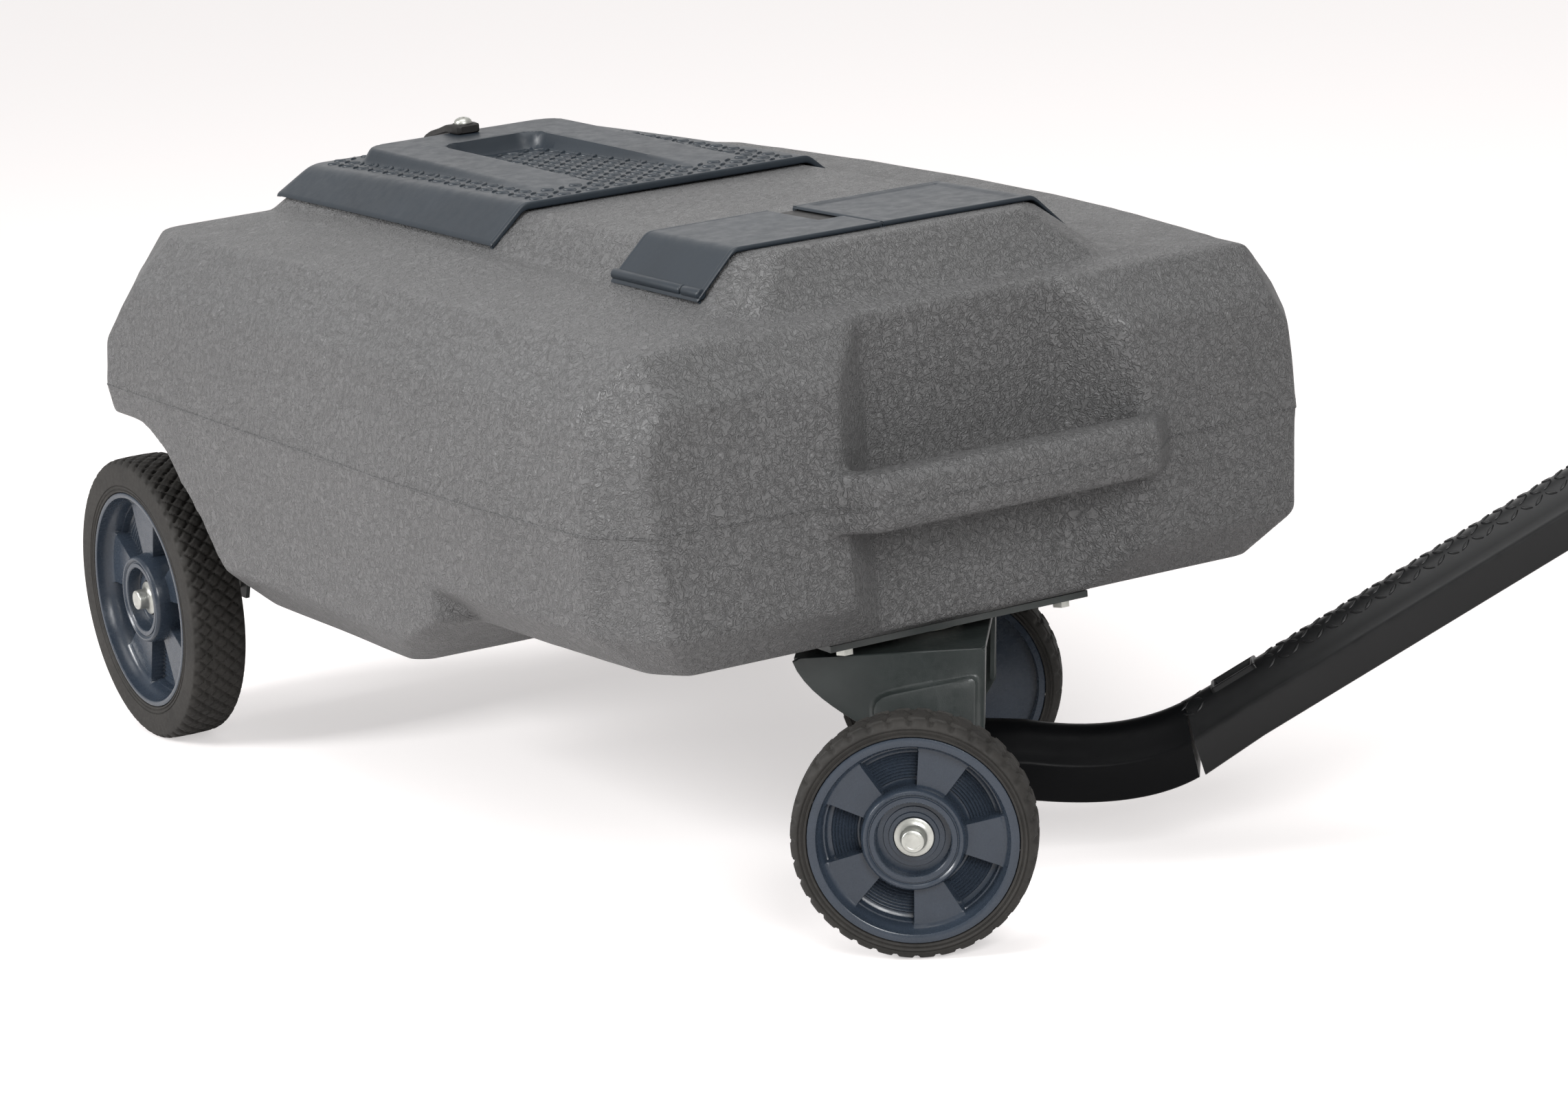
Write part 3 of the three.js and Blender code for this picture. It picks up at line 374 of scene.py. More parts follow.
def tank_piece():
    mesh = frame["nodes"]["tank_shell"].data.copy()
    mesh.transform(Matrix.Translation(-DATUM))
    bm = bmesh.new()
    bm.from_mesh(mesh)
    for centre, axis, radius, depth in TANK_PLUGS:
        disc = revolve([(0, -depth / 2), (radius, -depth / 2), (radius, depth / 2), (0, depth / 2)], 32)
        verts, faces = turn_part(disc, axis_frame(centre, axis))
        made = [bm.verts.new(v * MM) for v in verts]
        for face in faces:
            bm.faces.new([made[i] for i in face])
    bmesh.ops.remove_doubles(bm, verts=bm.verts, dist=1e-6)
    bm.to_mesh(mesh)
    bm.free()
    piece = bpy.data.objects.new("tank_body", mesh)
    piece.location = DATUM
    bpy.context.scene.collection.objects.link(piece)
    modifier = piece.modifiers.new("remesh", "REMESH")
    modifier.mode = "VOXEL"
    modifier.voxel_size = TANK_VOXEL * MM
    apply_modifiers(piece)
    made = piece.data
    keep_largest(made)
    co = np.empty(len(made.vertices) * 3)
    made.vertices.foreach_get("co", co)
    edges = np.empty(len(made.edges) * 2, int)
    made.edges.foreach_get("vertices", edges)
    co = relaxed(co.reshape(-1, 3), edges.reshape(-1, 2), TANK_SMOOTHING)
    made.vertices.foreach_set("co", co.ravel())
    made.update()
    normals = np.array([v.normal for v in made.vertices])
    scale, depth = TANK_SWELL
    swell = np.array([noise.noise(Vector(p) * scale) for p in co])
    made.vertices.foreach_set("co", (co + normals * swell[:, None] * depth).ravel())
    finish_mesh(made, "tank_grey", 180)
    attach(piece, "tank")
    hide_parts("tank_shell")
    return piece


def keep_largest(mesh):
    """Drops every loose island but the one with the widest box."""
    bm = bmesh.new()
    bm.from_mesh(mesh)
    bm.verts.ensure_lookup_table()
    seen, islands = set(), []
    for start in bm.verts:
        if start.index in seen:
            continue
        stack, island = [start], []
        seen.add(start.index)
        while stack:
            vert = stack.pop()
            island.append(vert)
            for edge in vert.link_edges:
                other = edge.other_vert(vert)
                if other.index not in seen:
                    seen.add(other.index)
                    stack.append(other)
        islands.append(island)
    islands.sort(key=lambda island: max(v.co.x for v in island) - min(v.co.x for v in island))
    for island in islands[:-1]:
        bmesh.ops.delete(bm, geom=island, context="VERTS")
    bm.to_mesh(mesh)
    bm.free()


def mould_line(tank):
    """A fine flash line round the tank, half sunk in its surface."""
    bm = bmesh.new()
    bm.from_mesh(tank.data)
    cut = bmesh.ops.bisect_plane(bm, geom=bm.verts[:] + bm.edges[:] + bm.faces[:],
                                 plane_co=(0, 0, PART_LINE * MM), plane_no=(0, 0, 1))
    segments = [g for g in cut["geom_cut"] if isinstance(g, bmesh.types.BMEdge)]
    links = {}
    for edge in segments:
        for vert in edge.verts:
            links.setdefault(vert, []).append(edge)
    loops, used = [], set()
    for edge in segments:
        if edge in used:
            continue
        loop, vert = [], edge.verts[0]
        while edge is not None:
            used.add(edge)
            loop.append(vert.co / MM)
            vert = edge.other_vert(vert)
            edge = next((e for e in links[vert] if e not in used), None)
        loops.append(loop)
    bm.free()
    outer = max(loops, key=len)
    path = np.array([p[:] for p in outer])[::2]
    ahead, behind = np.roll(path, -1, 0), np.roll(path, 1, 0)
    tangent = ahead - behind
    tangent /= np.linalg.norm(tangent, axis=1)[:, None] + 1e-9
    side = np.cross(tangent, [0, 0, 1])
    half, proud = 0.75, 0.85
    section = [(-1.2, 0.0), (-0.2, half), (proud, half * 0.45), (proud, -half * 0.45), (-0.2, -half)]
    middle = path.mean(0)
    away = np.sign(np.sum(side * (path - middle), 1).mean())
    rings = np.stack([path + away * side * out + np.array([0, 0, up]) for out, up in section], 1)
    make("mould_line", [lattice(rings, close_rows=True, close_cols=True)], "tank", "tank_grey")


mould_line(tank_piece())


# ---------------------------------------------------------------- top covers

SPINE_TOP = 560.0                 # height of the tank's spine over the kingpin
SPINE_TILT = 0.0174
COVER_OFF = 4.35                  # cover wall and clearance over the spine
HALF_TOP = 147.8
HALF_LOW = 213.15                 # half width where the side slope meets z 500
REAR_TOP = -869.8
REAR_LOW = -896.9
LOW_Z = 500.0
SKIRT_Z = 526.0
CORNER = 13.0                     # how much of the rear corners is cut off, seen from above
CORNER_RUN = 65.4                 # how far the corner facet spreads on its way down to z 500
COVER_WALL = 3.6
ROLL = 2.2                        # radius of the rolled edges
CREASE = 4.5                      # softness of the creases between the top and the slopes


def cover_top(x):
    return SPINE_TOP + COVER_OFF + SPINE_TILT * x


def cover_height(x, y):
    top = cover_top(x)
    rise = top - LOW_Z
    side = top + (HALF_TOP - np.abs(y)) * rise / (HALF_LOW - HALF_TOP)
    rear = top + (x - REAR_TOP) * rise / (REAR_TOP - REAR_LOW)
    inward = ((x - REAR_TOP) + (HALF_TOP - np.abs(y)) - CORNER) / math.sqrt(2)
    corner = top + inward * rise / CORNER_RUN
    return smooth_min(smooth_min(smooth_min(top, side, CREASE), rear, CREASE), corner, CREASE)


def skirt_half(x):
    """Half width of the cover's footprint at the skirt."""
    share = (cover_top(x) - SKIRT_Z) / (cover_top(x) - LOW_Z)
    half = HALF_TOP + (HALF_LOW - HALF_TOP) * share
    rear = REAR_TOP - (REAR_TOP - REAR_LOW) * share
    return np.minimum(half, half - CORNER + (x - rear))


def spaced(low, high, step):
    """Even stations with a few close ones at both ends, for the rolled edges."""
    ends = np.array([0, 0.25, 0.8, 1.6, 2.6, 4.0])
    inner = np.linspace(low + 5.5, high - 5.5, max(2, int((high - low - 11) / step)))
    return np.concatenate([low + ends, inner, high - ends[::-1]])


def rolled(distance):
    d = np.clip(distance, 0, ROLL)
    return ROLL - np.sqrt(np.maximum(ROLL ** 2 - (ROLL - d) ** 2, 0))


def shell_of(outer, keep=None):
    """A closed shell under a grid of outer points. keep marks the cells that are there."""
    du = np.gradient(outer, axis=0)
    dv = np.gradient(outer, axis=1)
    normal = np.cross(du, dv)
    normal /= np.linalg.norm(normal, axis=2)[:, :, None] + 1e-9
    normal *= np.sign(normal[:, :, 2:3] + 1e-9)
    inner = outer - normal * COVER_WALL
    rows, cols = outer.shape[:2]
    if keep is None:
        keep = np.ones((rows - 1, cols - 1), bool)
    there = np.pad(keep, 1)
    offset = rows * cols
    faces = []
    for i, j in zip(*np.nonzero(keep)):
        corners = [int(v) for v in (i * cols + j, i * cols + j + 1, (i + 1) * cols + j + 1,
                                    (i + 1) * cols + j)]
        faces.append(corners)
        faces.append([v + offset for v in corners[::-1]])
        beside = (there[i, j + 1], there[i + 1, j + 2], there[i + 2, j + 1], there[i + 1, j])
        for k in range(4):
            if not beside[k]:
                a, b = corners[k], corners[(k + 1) % 4]
                faces.append([b, a, a + offset, b + offset])
    return np.concatenate([outer.reshape(-1, 3), inner.reshape(-1, 3)]), faces


def lozenge(centre, along, normal, length=13.0, width=5.0, height=1.7):
    """One raised lozenge of tread plate: a pointed oval with a rounded back."""
    along = np.array(along, float)
    normal = np.array(normal, float) / np.linalg.norm(normal)
    along -= normal * (along @ normal)
    along /= np.linalg.norm(along)
    across = np.cross(normal, along)
    t = np.array([-1, -0.72, -0.36, 0, 0.36, 0.72])
    bow = np.cos(t * math.pi / 2) ** 0.8
    ring2d = [(a, w) for a, w in zip(t, bow)] + [(-a, -w) for a, w in zip(t, bow)]
    rings = []
    for scale_l, scale_w, up in ((1, 1, -0.7), (1, 1, 0.1), (0.93, 0.8, 0.62), (0.76, 0.42, 0.94),
                                 (0.5, 0.1, 1.0)):
        rings.append([centre + along * (a * length / 2 * scale_l) + across * (w * width / 2 * scale_w)
                      + normal * (height * up) for a, w in ring2d])
    return loft(rings)


COVER_X = (-884.5, -397.0)
FRAME_BOX = (-834.0, -440.0, 115.0)   # rear, front and half width of the raised frame
FRAME_RISE = (14.6, 1.0)              # how far it stands proud at the rear and at the front
FRAME_CORNER = 34.0
FRAME_SLOPE = 13.0
SCOOP_BOX = (-762.0, -436.0, 53.0)
SCOOP_FLOOR = (549.0, -735.0)         # height and place of its deepest line
SCOOP_CORNER = 24.0
COVER_SWELL = (4.0, 473.0)            # height and length of the swell towards the front edge
STRAP_X = -812.0
TREAD_PITCH = (16.5, 14.4)


def from_edges(along, across, corner):
    """Distance inside the end and the sides of a box with rounded corners."""
    inner = corner - np.hypot(np.maximum(corner - along, 0), np.maximum(corner - across, 0))
    return np.where((along < corner) & (across < corner), inner, np.minimum(along, across))


def rear_cover_top(x):
    """Height along the middle: the cover swells a little towards its front edge."""
    height, length = COVER_SWELL
    return cover_top(x) + height * (1 - ((x - COVER_X[1]) / length) ** 2)


def rear_cover_height(x, y):
    z = cover_height(x, y) + rear_cover_top(x) - cover_top(x)
    rear, front, half = FRAME_BOX
    share = np.clip((x - rear) / (front - rear), 0, 1.1)
    raised = np.maximum(FRAME_RISE[0] + (FRAME_RISE[1] - FRAME_RISE[0]) * share, 0)
    level = rear_cover_top(x) + raised
    z = z + raised * smooth_step(from_edges(x - rear, half - np.abs(y), FRAME_CORNER), 0,
                                 FRAME_SLOPE)
    rear, front, half = SCOOP_BOX
    deepest, place = SCOOP_FLOOR
    ramp = np.clip((x - place) / (front - place), 0, 1)
    floor = np.minimum(deepest + (rear_cover_top(front) - deepest) * ramp, level)
    share = smooth_step(from_edges(x - rear, half - np.abs(y), SCOOP_CORNER), 0, 8)
    share = share * smooth_step(front + 6 - x, 0, 6)
    return z * (1 - share) + floor * share


def cover_normal(x, y, reach=2.0):
    at = [float(rear_cover_height(np.array(x + dx), np.array(y + dy)))
          for dx, dy in ((0, 0), (reach, 0), (0, reach))]
    return at[0], ((at[0] - at[1]) / reach, (at[0] - at[2]) / reach, 1)


def has_tread(x, y):
    """Tread runs round the raised frame, in the scoop and along the front edge."""
    beside = 114 <= abs(y) <= 136 and x > -852
    behind = -862 < x < -838 and abs(y) <= 124
    scoop = abs(y) < 46 and -742 < x < -448
    front = x > -452 and abs(y) <= 136
    return beside or behind or scoop or front


def edge_bead(height, x, inward, span, deep):
    """The thick rounded edge of a cover: a bar that follows the cover's height at one x."""
    section = fillet([(-0.5, -2 * deep), (5.6, -2 * deep), (5.6, 0.25), (-0.5, 0.25)], 2.2, 4)
    rings = []
    for across in np.linspace(*span, 120):
        top = float(height(np.array(x), np.array(across)))
        rings.append([(x + inward * dx, across, top + dz) for dx, dz in section])
    return loft(rings)


def rear_cover_piece():
    low, high = COVER_X
    xs = spaced(low, high, 2.6)
    ends = np.array([0, 0.0015, 0.0045, 0.009, 0.015, 0.022])
    vs = np.concatenate([-1 + ends, np.linspace(-0.97, 0.97, 132), 1 - ends[::-1]])
    half = skirt_half(xs)
    x = np.repeat(xs[:, None], len(vs), 1)
    y = half[:, None] * vs[None, :]
    z = rear_cover_height(x, y)
    edge = np.minimum((1 - np.abs(vs))[None, :] * half[:, None] * 1.3, high - x)
    z = z - rolled(edge)
    parts = [shell_of(np.stack([x, y, z], -1))]
    reach = skirt_half(high) - 1.5
    parts.append(edge_bead(rear_cover_height, high, -1, (-reach, reach), 3.4))
    for i in range(-29, 1):
        for j in range(-9, 10):
            cx, cy = high - 11 + i * TREAD_PITCH[0], j * TREAD_PITCH[1]
            if not has_tread(cx, cy):
                continue
            turn = 1 if (i + j) % 2 else -1
            z0, normal = cover_normal(cx, cy)
            parts.append(lozenge(np.array([cx, cy, z0]), (1, turn, 0), normal))
    make("rear_cover_lid", parts, "rear_cover", "cover_slate", ["rear_cover"])


rear_cover_piece()

FRONT_X = (-166.0, -13.0)
SEAM_Y, SEAM_GAP = -4.0, 0.8      # joint between the flap and the fixed plate
FRONT_FOOT = 186.0                # distance of the covers' outer edge from the middle
HINGE_Y, HINGE_Z = -181.5, 530.0
FINGER_X, FINGER_Y = -76.0, 28.0  # front end and depth of the finger opening in the flap


def front_half(sign):
    """Outer grid of one half of the front cover: sign -1 is the flap, +1 the fixed plate."""
    tight = np.array([0, 0.3, 0.9, 1.8, 2.8, 4.0])
    xs = spaced(*FRONT_X, 3.0)
    foot = FRONT_FOOT
    start = -SEAM_Y if sign < 0 else SEAM_Y + SEAM_GAP
    ys = np.concatenate([start + tight, np.linspace(start + 6, foot - 6, 60), foot - tight[::-1]])
    if sign < 0:
        xs = np.sort(np.concatenate([xs[np.abs(xs - FINGER_X - 2) > 3.5], FINGER_X + tight]))
        ys = np.sort(np.concatenate([ys[np.abs(ys - FINGER_Y - 2) > 3.5], FINGER_Y + tight]))
    x = np.repeat(xs[:, None], len(ys), 1)
    y = sign * np.repeat(ys[None, :], len(xs), 0)
    z = cover_height(x, y)
    edge = np.minimum(np.minimum(x - FRONT_X[0], FRONT_X[1] - x),
                      np.minimum(ys[None, :] - start, (foot - ys)[None, :] * 1.25))
    if sign < 0:
        opening = np.hypot(np.maximum(x - FINGER_X, 0), np.maximum(ys[None, :] - FINGER_Y, 0))
        edge = np.minimum(edge, opening)
    z = z - rolled(edge)
    if sign > 0:
        border = np.minimum(np.minimum(x - FRONT_X[0] - 9, FRONT_X[1] - 9 - x),
                            np.minimum(y - 8, 138 - y))
        z = z - 0.9 * smooth_step(border, 0, 2.5)
    return np.stack([x, y, z], -1)


def front_flap_piece():
    outer = front_half(-1)
    middle = (outer[1:, 1:] + outer[:-1, :-1]) / 2
    keep = (middle[:, :, 0] > FINGER_X) | (middle[:, :, 1] < -FINGER_Y)
    beads = [edge_bead(cover_height, x, inward, span, 2.1)
             for x, inward, span in ((FRONT_X[1], -1, (-184, -5)), (FRONT_X[0], 1, (-184, -29.5)))]
    make("front_flap_lid", [shell_of(outer, keep), *beads], "front_flap", "cover_slate",
         ["front_flap"])
    knuckles = [turned([(0, start), (4.7, start), (4.7, end), (0, end)], 1.4, 24)
                for start, end in ((0.4, 121), (123.5, 152.6))]
    make("flap_knuckles", knuckles, "front_flap", "cover_slate",
         place=axis_frame((FRONT_X[0], HINGE_Y, HINGE_Z), (1, 0, 0)))


def front_plate_piece():
    """The fixed plate, and a black sheet under the flap's finger opening that paints the shade in the
    hole.
    """
    # painted shade: a thin black rubber sheet over the tank top where the finger opening shows it, so
    # the hole reads dark
    section = fillet([(-27, -1.2), (-14.4, -1.2), (-14.4, 0.3), (-0.5, 0.3), (-0.5, 0.8), (-27, 0.8)],
                     0.15, 2)
    rings = [[(x, y, cover_top(x) - COVER_OFF + z) for y, z in section]
             for x in np.linspace(FRONT_X[0] + 4, FINGER_X + 2, 8)]
    make("finger_pocket_painted_shade", [loft(rings)], "tank", "rubber_black")
    beads = [edge_bead(cover_height, x, inward, (-2.5, 184), 2.1)
             for x, inward in ((FRONT_X[1], -1), (FRONT_X[0], 1))]
    make("front_cover_plate", [shell_of(front_half(1)), *beads], "tank", "cover_slate",
         ["front_plate"])


front_flap_piece()
front_plate_piece()


# ---------------------------------------------------------------- strap, screw

STRAP_SEAT = 574.4


def strap_piece():
    """The rubber strap: a thick square-cornered eye under the screw and a thin tail over the edge."""
    path = np.array([(-799, 569.4), (-812, 569.6), (-828, 568.8), (-850, 563.8), (-870, 559.6),
                     (-886, 553.8), (-894.5, 541), (-900.5, 524), (-905.5, 506), (-908.8, 490)])
    thick = np.array([4.3, 4.6, 3.8, 3.1, 2.8, 2.6, 2.5, 2.4, 2.4, 3.0])
    width = np.array([12, 13, 12, 9.5, 8.5, 8, 8, 8, 8, 9.5])
    fine = np.linspace(0, len(path) - 1, 40)
    index = np.arange(len(path))
    px, pz = (np.interp(fine, index, path[:, k]) for k in (0, 1))
    th, wi = np.interp(fine, index, thick), np.interp(fine, index, width)
    rings = []
    for k in range(len(fine)):
        a, b = max(k - 1, 0), min(k + 1, len(fine) - 1)
        t = np.array([px[b] - px[a], pz[b] - pz[a]])
        t /= np.linalg.norm(t)
        n = np.array([t[1], -t[0]])
        end = 0.72 if k in (0, len(fine) - 1) else 1.0
        section = fillet([(-wi[k], -th[k]), (wi[k], -th[k]), (wi[k], th[k]), (-wi[k], th[k])], 2.2, 3)
        rings.append([(px[k] + n[0] * up * end, across * end, pz[k] + n[1] * up * end)
                      for across, up in section])
    washer = turned([(3.5, 0), (10.5, 0), (10.5, 2.2), (3.5, 2.2)], 0.6, 40,
                    Matrix.Translation((STRAP_X, 0, STRAP_SEAT - 2.2)))
    make("strap_band", [loft(rings), washer], "rear_cover", "rubber_black", ["cover_strap"])


def strap_screw_piece():
    """Pan-head screw with a cross recess cut in its crown."""
    tip, radius, seat = 543, 8.6, STRAP_SEAT
    crown = [(0, tip), (2.6, tip), (2.6, seat), (radius, seat), (radius, seat + 1.2),
             (radius * 0.93, seat + 2.9), (radius * 0.72, seat + 4.5), (radius * 0.4, seat + 5.5),
             (0, seat + 5.9)]
    piece = make("strap_screw_head", [revolve(crown, 48)], "rear_cover", "zinc", ["strap_screw"],
                 place=Matrix.Translation((STRAP_X, 0, 0)))
    for a, b in ((4.2, 0.8), (0.8, 4.2)):
        boolean_cut(piece, block((STRAP_X - a, -b, seat + 3.4), (STRAP_X + a, b, seat + 8), 0.3))
    finish_mesh(piece.data, "zinc", SHARP)


strap_piece()
strap_screw_piece()


# ---------------------------------------------------------------- wheels

SPOKES = 5
SPOKE_HALF = 16.3                 # degrees
WHEELS = {
    # lip radius, where the bowl starts and ends, spoke face and pocket floor depth, rib count,
    # tyre width and radius, angle of the first spoke, tread cells round the tyre and vertices per
    # round, distance of the outer face from the middle, and the middle of the axle
    "front": {"lip": 87.0, "bowl": (73.5, 79.6), "spoke": -12.0, "pocket": -25.0, "ribs": 8,
              "width": 49.4, "radius": 101.6, "phase": -5.5, "cells": 36, "count": 396,
              "face": 267.3, "centre": (0, 0, FRONT_AXLE_Z)},
    "rear": {"lip": 106.5, "bowl": (94.0, 101.5), "spoke": -17.0, "pocket": -31.0, "ribs": 10,
             "width": 55.0, "radius": 139.8, "phase": 20.0, "cells": 56, "count": 504,
             "face": 343.0, "centre": (REAR_AXLE[0], 0, REAR_AXLE[1])},
}
# From the bore out to the foot of the spokes, seen from outside: (radius, depth).
HUB_PROFILE = [(8.35, -15.5), (16.8, -15.5), (17.2, -13.6), (20.5, -13.6), (21.0, -15.2),
               (25.2, -15.2), (25.7, -16.2), (30.0, -16.2), (31.0, -15.0), (31.4, -4.4), (32.2, -3.5),
               (35.9, -3.5), (36.5, -4.6), (37.2, -4.6), (38.0, -3.4), (39.4, -2.4), (40.9, -2.6),
               (42.2, -4.0), (43.0, -6.6)]
# Steps down a spoke's flank: degrees past its edge, and share of spoke left there.
SPOKE_FLANK = ((0.35, 0.93), (1.0, 0.07), (1.5, 0.0))


def rim_column(dims, share):
    """Front outline of the rim at one angle. share is 1 on a spoke and 0 in a pocket."""
    spoke, pocket = dims["spoke"], dims["pocket"]
    bowl0, bowl1 = dims["bowl"]
    level = pocket + (spoke - pocket) * share
    out = HUB_PROFILE + [(43.6, min(-9.0, level * 0.5 - 5)), (44.4, level + 1.2 * (1 - share)),
                         (45.6, level)]
    start, end = 47.0, bowl0 - 5.0
    steps = dims["ribs"] * 6
    for k in range(steps + 1):
        t = k / steps
        wave = 0.5 - 0.5 * math.cos(2 * math.pi * dims["ribs"] * t)
        out.append((start + (end - start) * t, level + 1.5 * (1 - share) * wave ** 0.7))
    out += [(bowl0 - 3.2, level + 0.3 * (1 - share)), (bowl0 - 1.4, level + 1.6 * (1 - share)),
            (bowl0, max(level, spoke - 6 * (1 - share)))]
    for k in range(1, 8):
        a = k / 8 * math.pi / 2
        r = bowl0 + (bowl1 - bowl0) * math.sin(a)
        depth = spoke + (-1.6 - spoke) * (1 - math.cos(a))
        floor = level + (spoke - level) * min(1, k / 3)
        out.append((r, max(depth, floor) if share > 0.5 else depth * min(1, k / 3)
                    + floor * (1 - min(1, k / 3))))
    lip = dims["lip"]
    out += [(bowl1 + 0.2, -1.5), (bowl1 + 0.9, -1.0), (lip - 1.2, -1.0), (lip - 0.3, -1.3),
            (lip, -2.2)]
    return out


def rim_part(dims):
    lip, width, pocket = dims["lip"], dims["width"], dims["pocket"]
    back = [(lip, 3 - width), (lip - 0.6, 2.4 - width), (lip - 5.5, 2.4 - width), (lip - 7.5, 6 - width),
            (lip - 8.5, pocket - 5), (24, pocket - 5), (21, pocket - 6), (21, 2.2 - width),
            (20, 1.8 - width), (9, 1.8 - width), (8.35, 2.4 - width)]
    step = 360 / SPOKES
    stations = [(t, 1.0) for t in np.linspace(-SPOKE_HALF, SPOKE_HALF, 8)]
    stations += [(SPOKE_HALF + past, share) for past, share in SPOKE_FLANK]
    stations += [(t, 0.0) for t in np.linspace(SPOKE_HALF + 1.5, step - SPOKE_HALF - 1.5, 9)[1:-1]]
    stations += [(step - SPOKE_HALF - past, share) for past, share in reversed(SPOKE_FLANK)]
    columns = []
    for k in range(SPOKES):
        for offset, share in stations:
            angle = math.radians(dims["phase"] + k * step + offset)
            outline = rim_column(dims, share) + back
            columns.append([(r * math.cos(angle), r * math.sin(angle), h) for r, h in outline])
    return lattice(np.array(columns), close_rows=True, close_cols=True)


def tyre_outline(dims):
    """(radius, depth, tread share) round one tyre section, starting at the outer bead."""
    lip, radius, width = dims["lip"], dims["radius"], dims["width"]
    side = [(lip + GAP, -2.2, 0), (lip + 0.9, -0.9, 0), (lip + 2.6, -0.5, 0), (lip + 3.2, -1.4, 0),
            (lip + 4.0, -1.4, 0), (lip + 4.6, -0.4, 0), (lip + 6.2, -0.1, 0), (lip + 6.8, -0.9, 0),
            (lip + 7.4, -0.9, 0), (lip + 8.0, 0.0, 0), (radius - 7.0, -0.1, 0),
            (radius - 5.6, -0.4, 0)]
    shoulder = [(radius - 4.3, -1.0, 0.35), (radius - 2.8, -2.4, 0.75), (radius - 1.6, -4.2, 1),
                (radius - 0.8, -6.2, 1)]
    tread = [(radius - 0.55 * abs(2 * t - 1) ** 2, -(8 + t * (width - 16)), 1)
             for t in np.linspace(0, 1, 20)]
    half = side + shoulder
    back = [(r, -width - h, s) for r, h, s in reversed(half)]
    return half + tread + back


def tyre_part(dims, kind):
    outline = np.array(tyre_outline(dims))
    radius, width, cells = dims["radius"], dims["width"], dims["cells"]
    angle = np.linspace(0, 2 * math.pi, dims["count"], endpoint=False)[:, None]
    r, h, share = outline[:, 0][None, :], outline[:, 1][None, :], outline[:, 2][None, :]
    u = angle / (2 * math.pi)
    v = h + width / 2
    if kind == "rear":
        pitch = 2 * math.pi * radius / cells
        a = (u * cells + v / pitch) % 1
        b = (u * cells - v / pitch) % 1
        groove_a = smooth_step(np.minimum(a, 1 - a), 0.05, 0.15)
        groove_b = smooth_step(np.minimum(b, 1 - b), 0.05, 0.15)
        drop = 2.4 * (1 - np.minimum(groove_a, groove_b))
        pip = smooth_step(0.17 - np.hypot(a - 0.5, b - 0.5), 0, 0.08)
        drop = drop + 0.5 * pip
    else:
        edge = np.abs(v) / (width / 2)
        zig = (u * cells + 0.32 * np.abs(((v / 9.0) % 2) - 1)) % 1
        centre = smooth_step(np.minimum(zig, 1 - zig), 0.05, 0.14)
        notch = (u * cells + 0.25) % 1
        shoulder = smooth_step(np.minimum(notch, 1 - notch), 0.1, 0.17)
        on_shoulder = smooth_step(edge, 0.7, 0.76)
        ring = smooth_step(np.abs(np.abs(v) - 14.0), 0.8, 1.9)
        pattern = np.minimum(centre * (1 - on_shoulder) + shoulder * on_shoulder, ring)
        drop = 2.3 * (1 - pattern)
    rr = r - drop * share
    points = np.stack([rr * np.cos(angle), rr * np.sin(angle), np.broadcast_to(h, rr.shape)], -1)
    return lattice(points, close_rows=True, close_cols=True)


CAP_OUTLINE = [(8.35, 0), (16.3, 0, 0.5), (16.5, 1.3, 0.6), (13.4, 2.0, 0.8), (11.0, 3.0, 1.6),
               (9.9, 5.0, 1.2), (9.6, 13.0, 0.2), (9.3, 14.3, 1.2), (6.4, 15.0, 0.5),
               (5.9, 14.6, 0.3), (0, 14.7, 0), (0, 12.0, 0), (8.35, 12.0, 0)]


def wheel(kind, side, sign):
    """Tyre and rim on their own turning body, and the push cap on the end of the axle."""
    dims = WHEELS[kind]
    name = f"{kind}_{side}"
    centre = Vector(dims["centre"]) + Vector((0, sign * dims["face"], 0))
    place = axis_frame(centre, (0, sign, 0))
    axle_body = "tank"
    if kind == "front":
        place = STEER_TURN @ place
        axle_body = "steering"
    make(f"{name}_wheel_tyre", [tyre_part(dims, kind)], f"{name}_wheel", "tyre_black",
         [f"{name}_tyre"], place=place, sharp=50)
    make(f"{name}_wheel_rim", [rim_part(dims)], f"{name}_wheel", "rim_navy", [f"{name}_rim"],
         place=place, sharp=38)
    make(f"{name}_push_cap", [turned(CAP_OUTLINE, 0.4, 56)], axle_body, "zinc", [f"{name}_cap"],
         place=place @ Matrix.Translation((0, 0, -13.4)))


for wheel_kind in ("rear", "front"):
    for wheel_side, wheel_sign in (("left", 1), ("right", -1)):
        wheel(wheel_kind, wheel_side, wheel_sign)


# ---------------------------------------------------------------- steering bracket

def bezier(points, steps):
    """A quadratic curve through its two ends."""
    p0, p1, p2 = (np.array(p, float) for p in points)
    t = np.linspace(0, 1, steps)[:, None]
    return (1 - t) ** 2 * p0 + 2 * t * (1 - t) * p1 + t * t * p2


def ray_hits(outline, centre, angles):
    """Distance from centre to a star-shaped outline along each angle."""
    pts = np.asarray(outline, float) - centre
    out = []
    for angle in angles:
        d = np.array([math.cos(angle), math.sin(angle)])
        best = 0.0
        for a, b in zip(pts, np.roll(pts, -1, 0)):
            e = b - a
            det = d[0] * -e[1] + d[1] * e[0]
            if abs(det) < 1e-9:
                continue
            t = (a[0] * -e[1] + a[1] * e[0]) / det
            s = (d[0] * a[1] - d[1] * a[0]) / det
            if t > 0 and -1e-6 <= s <= 1 + 1e-6:
                best = max(best, t)
        out.append(best)
    return np.array(out)


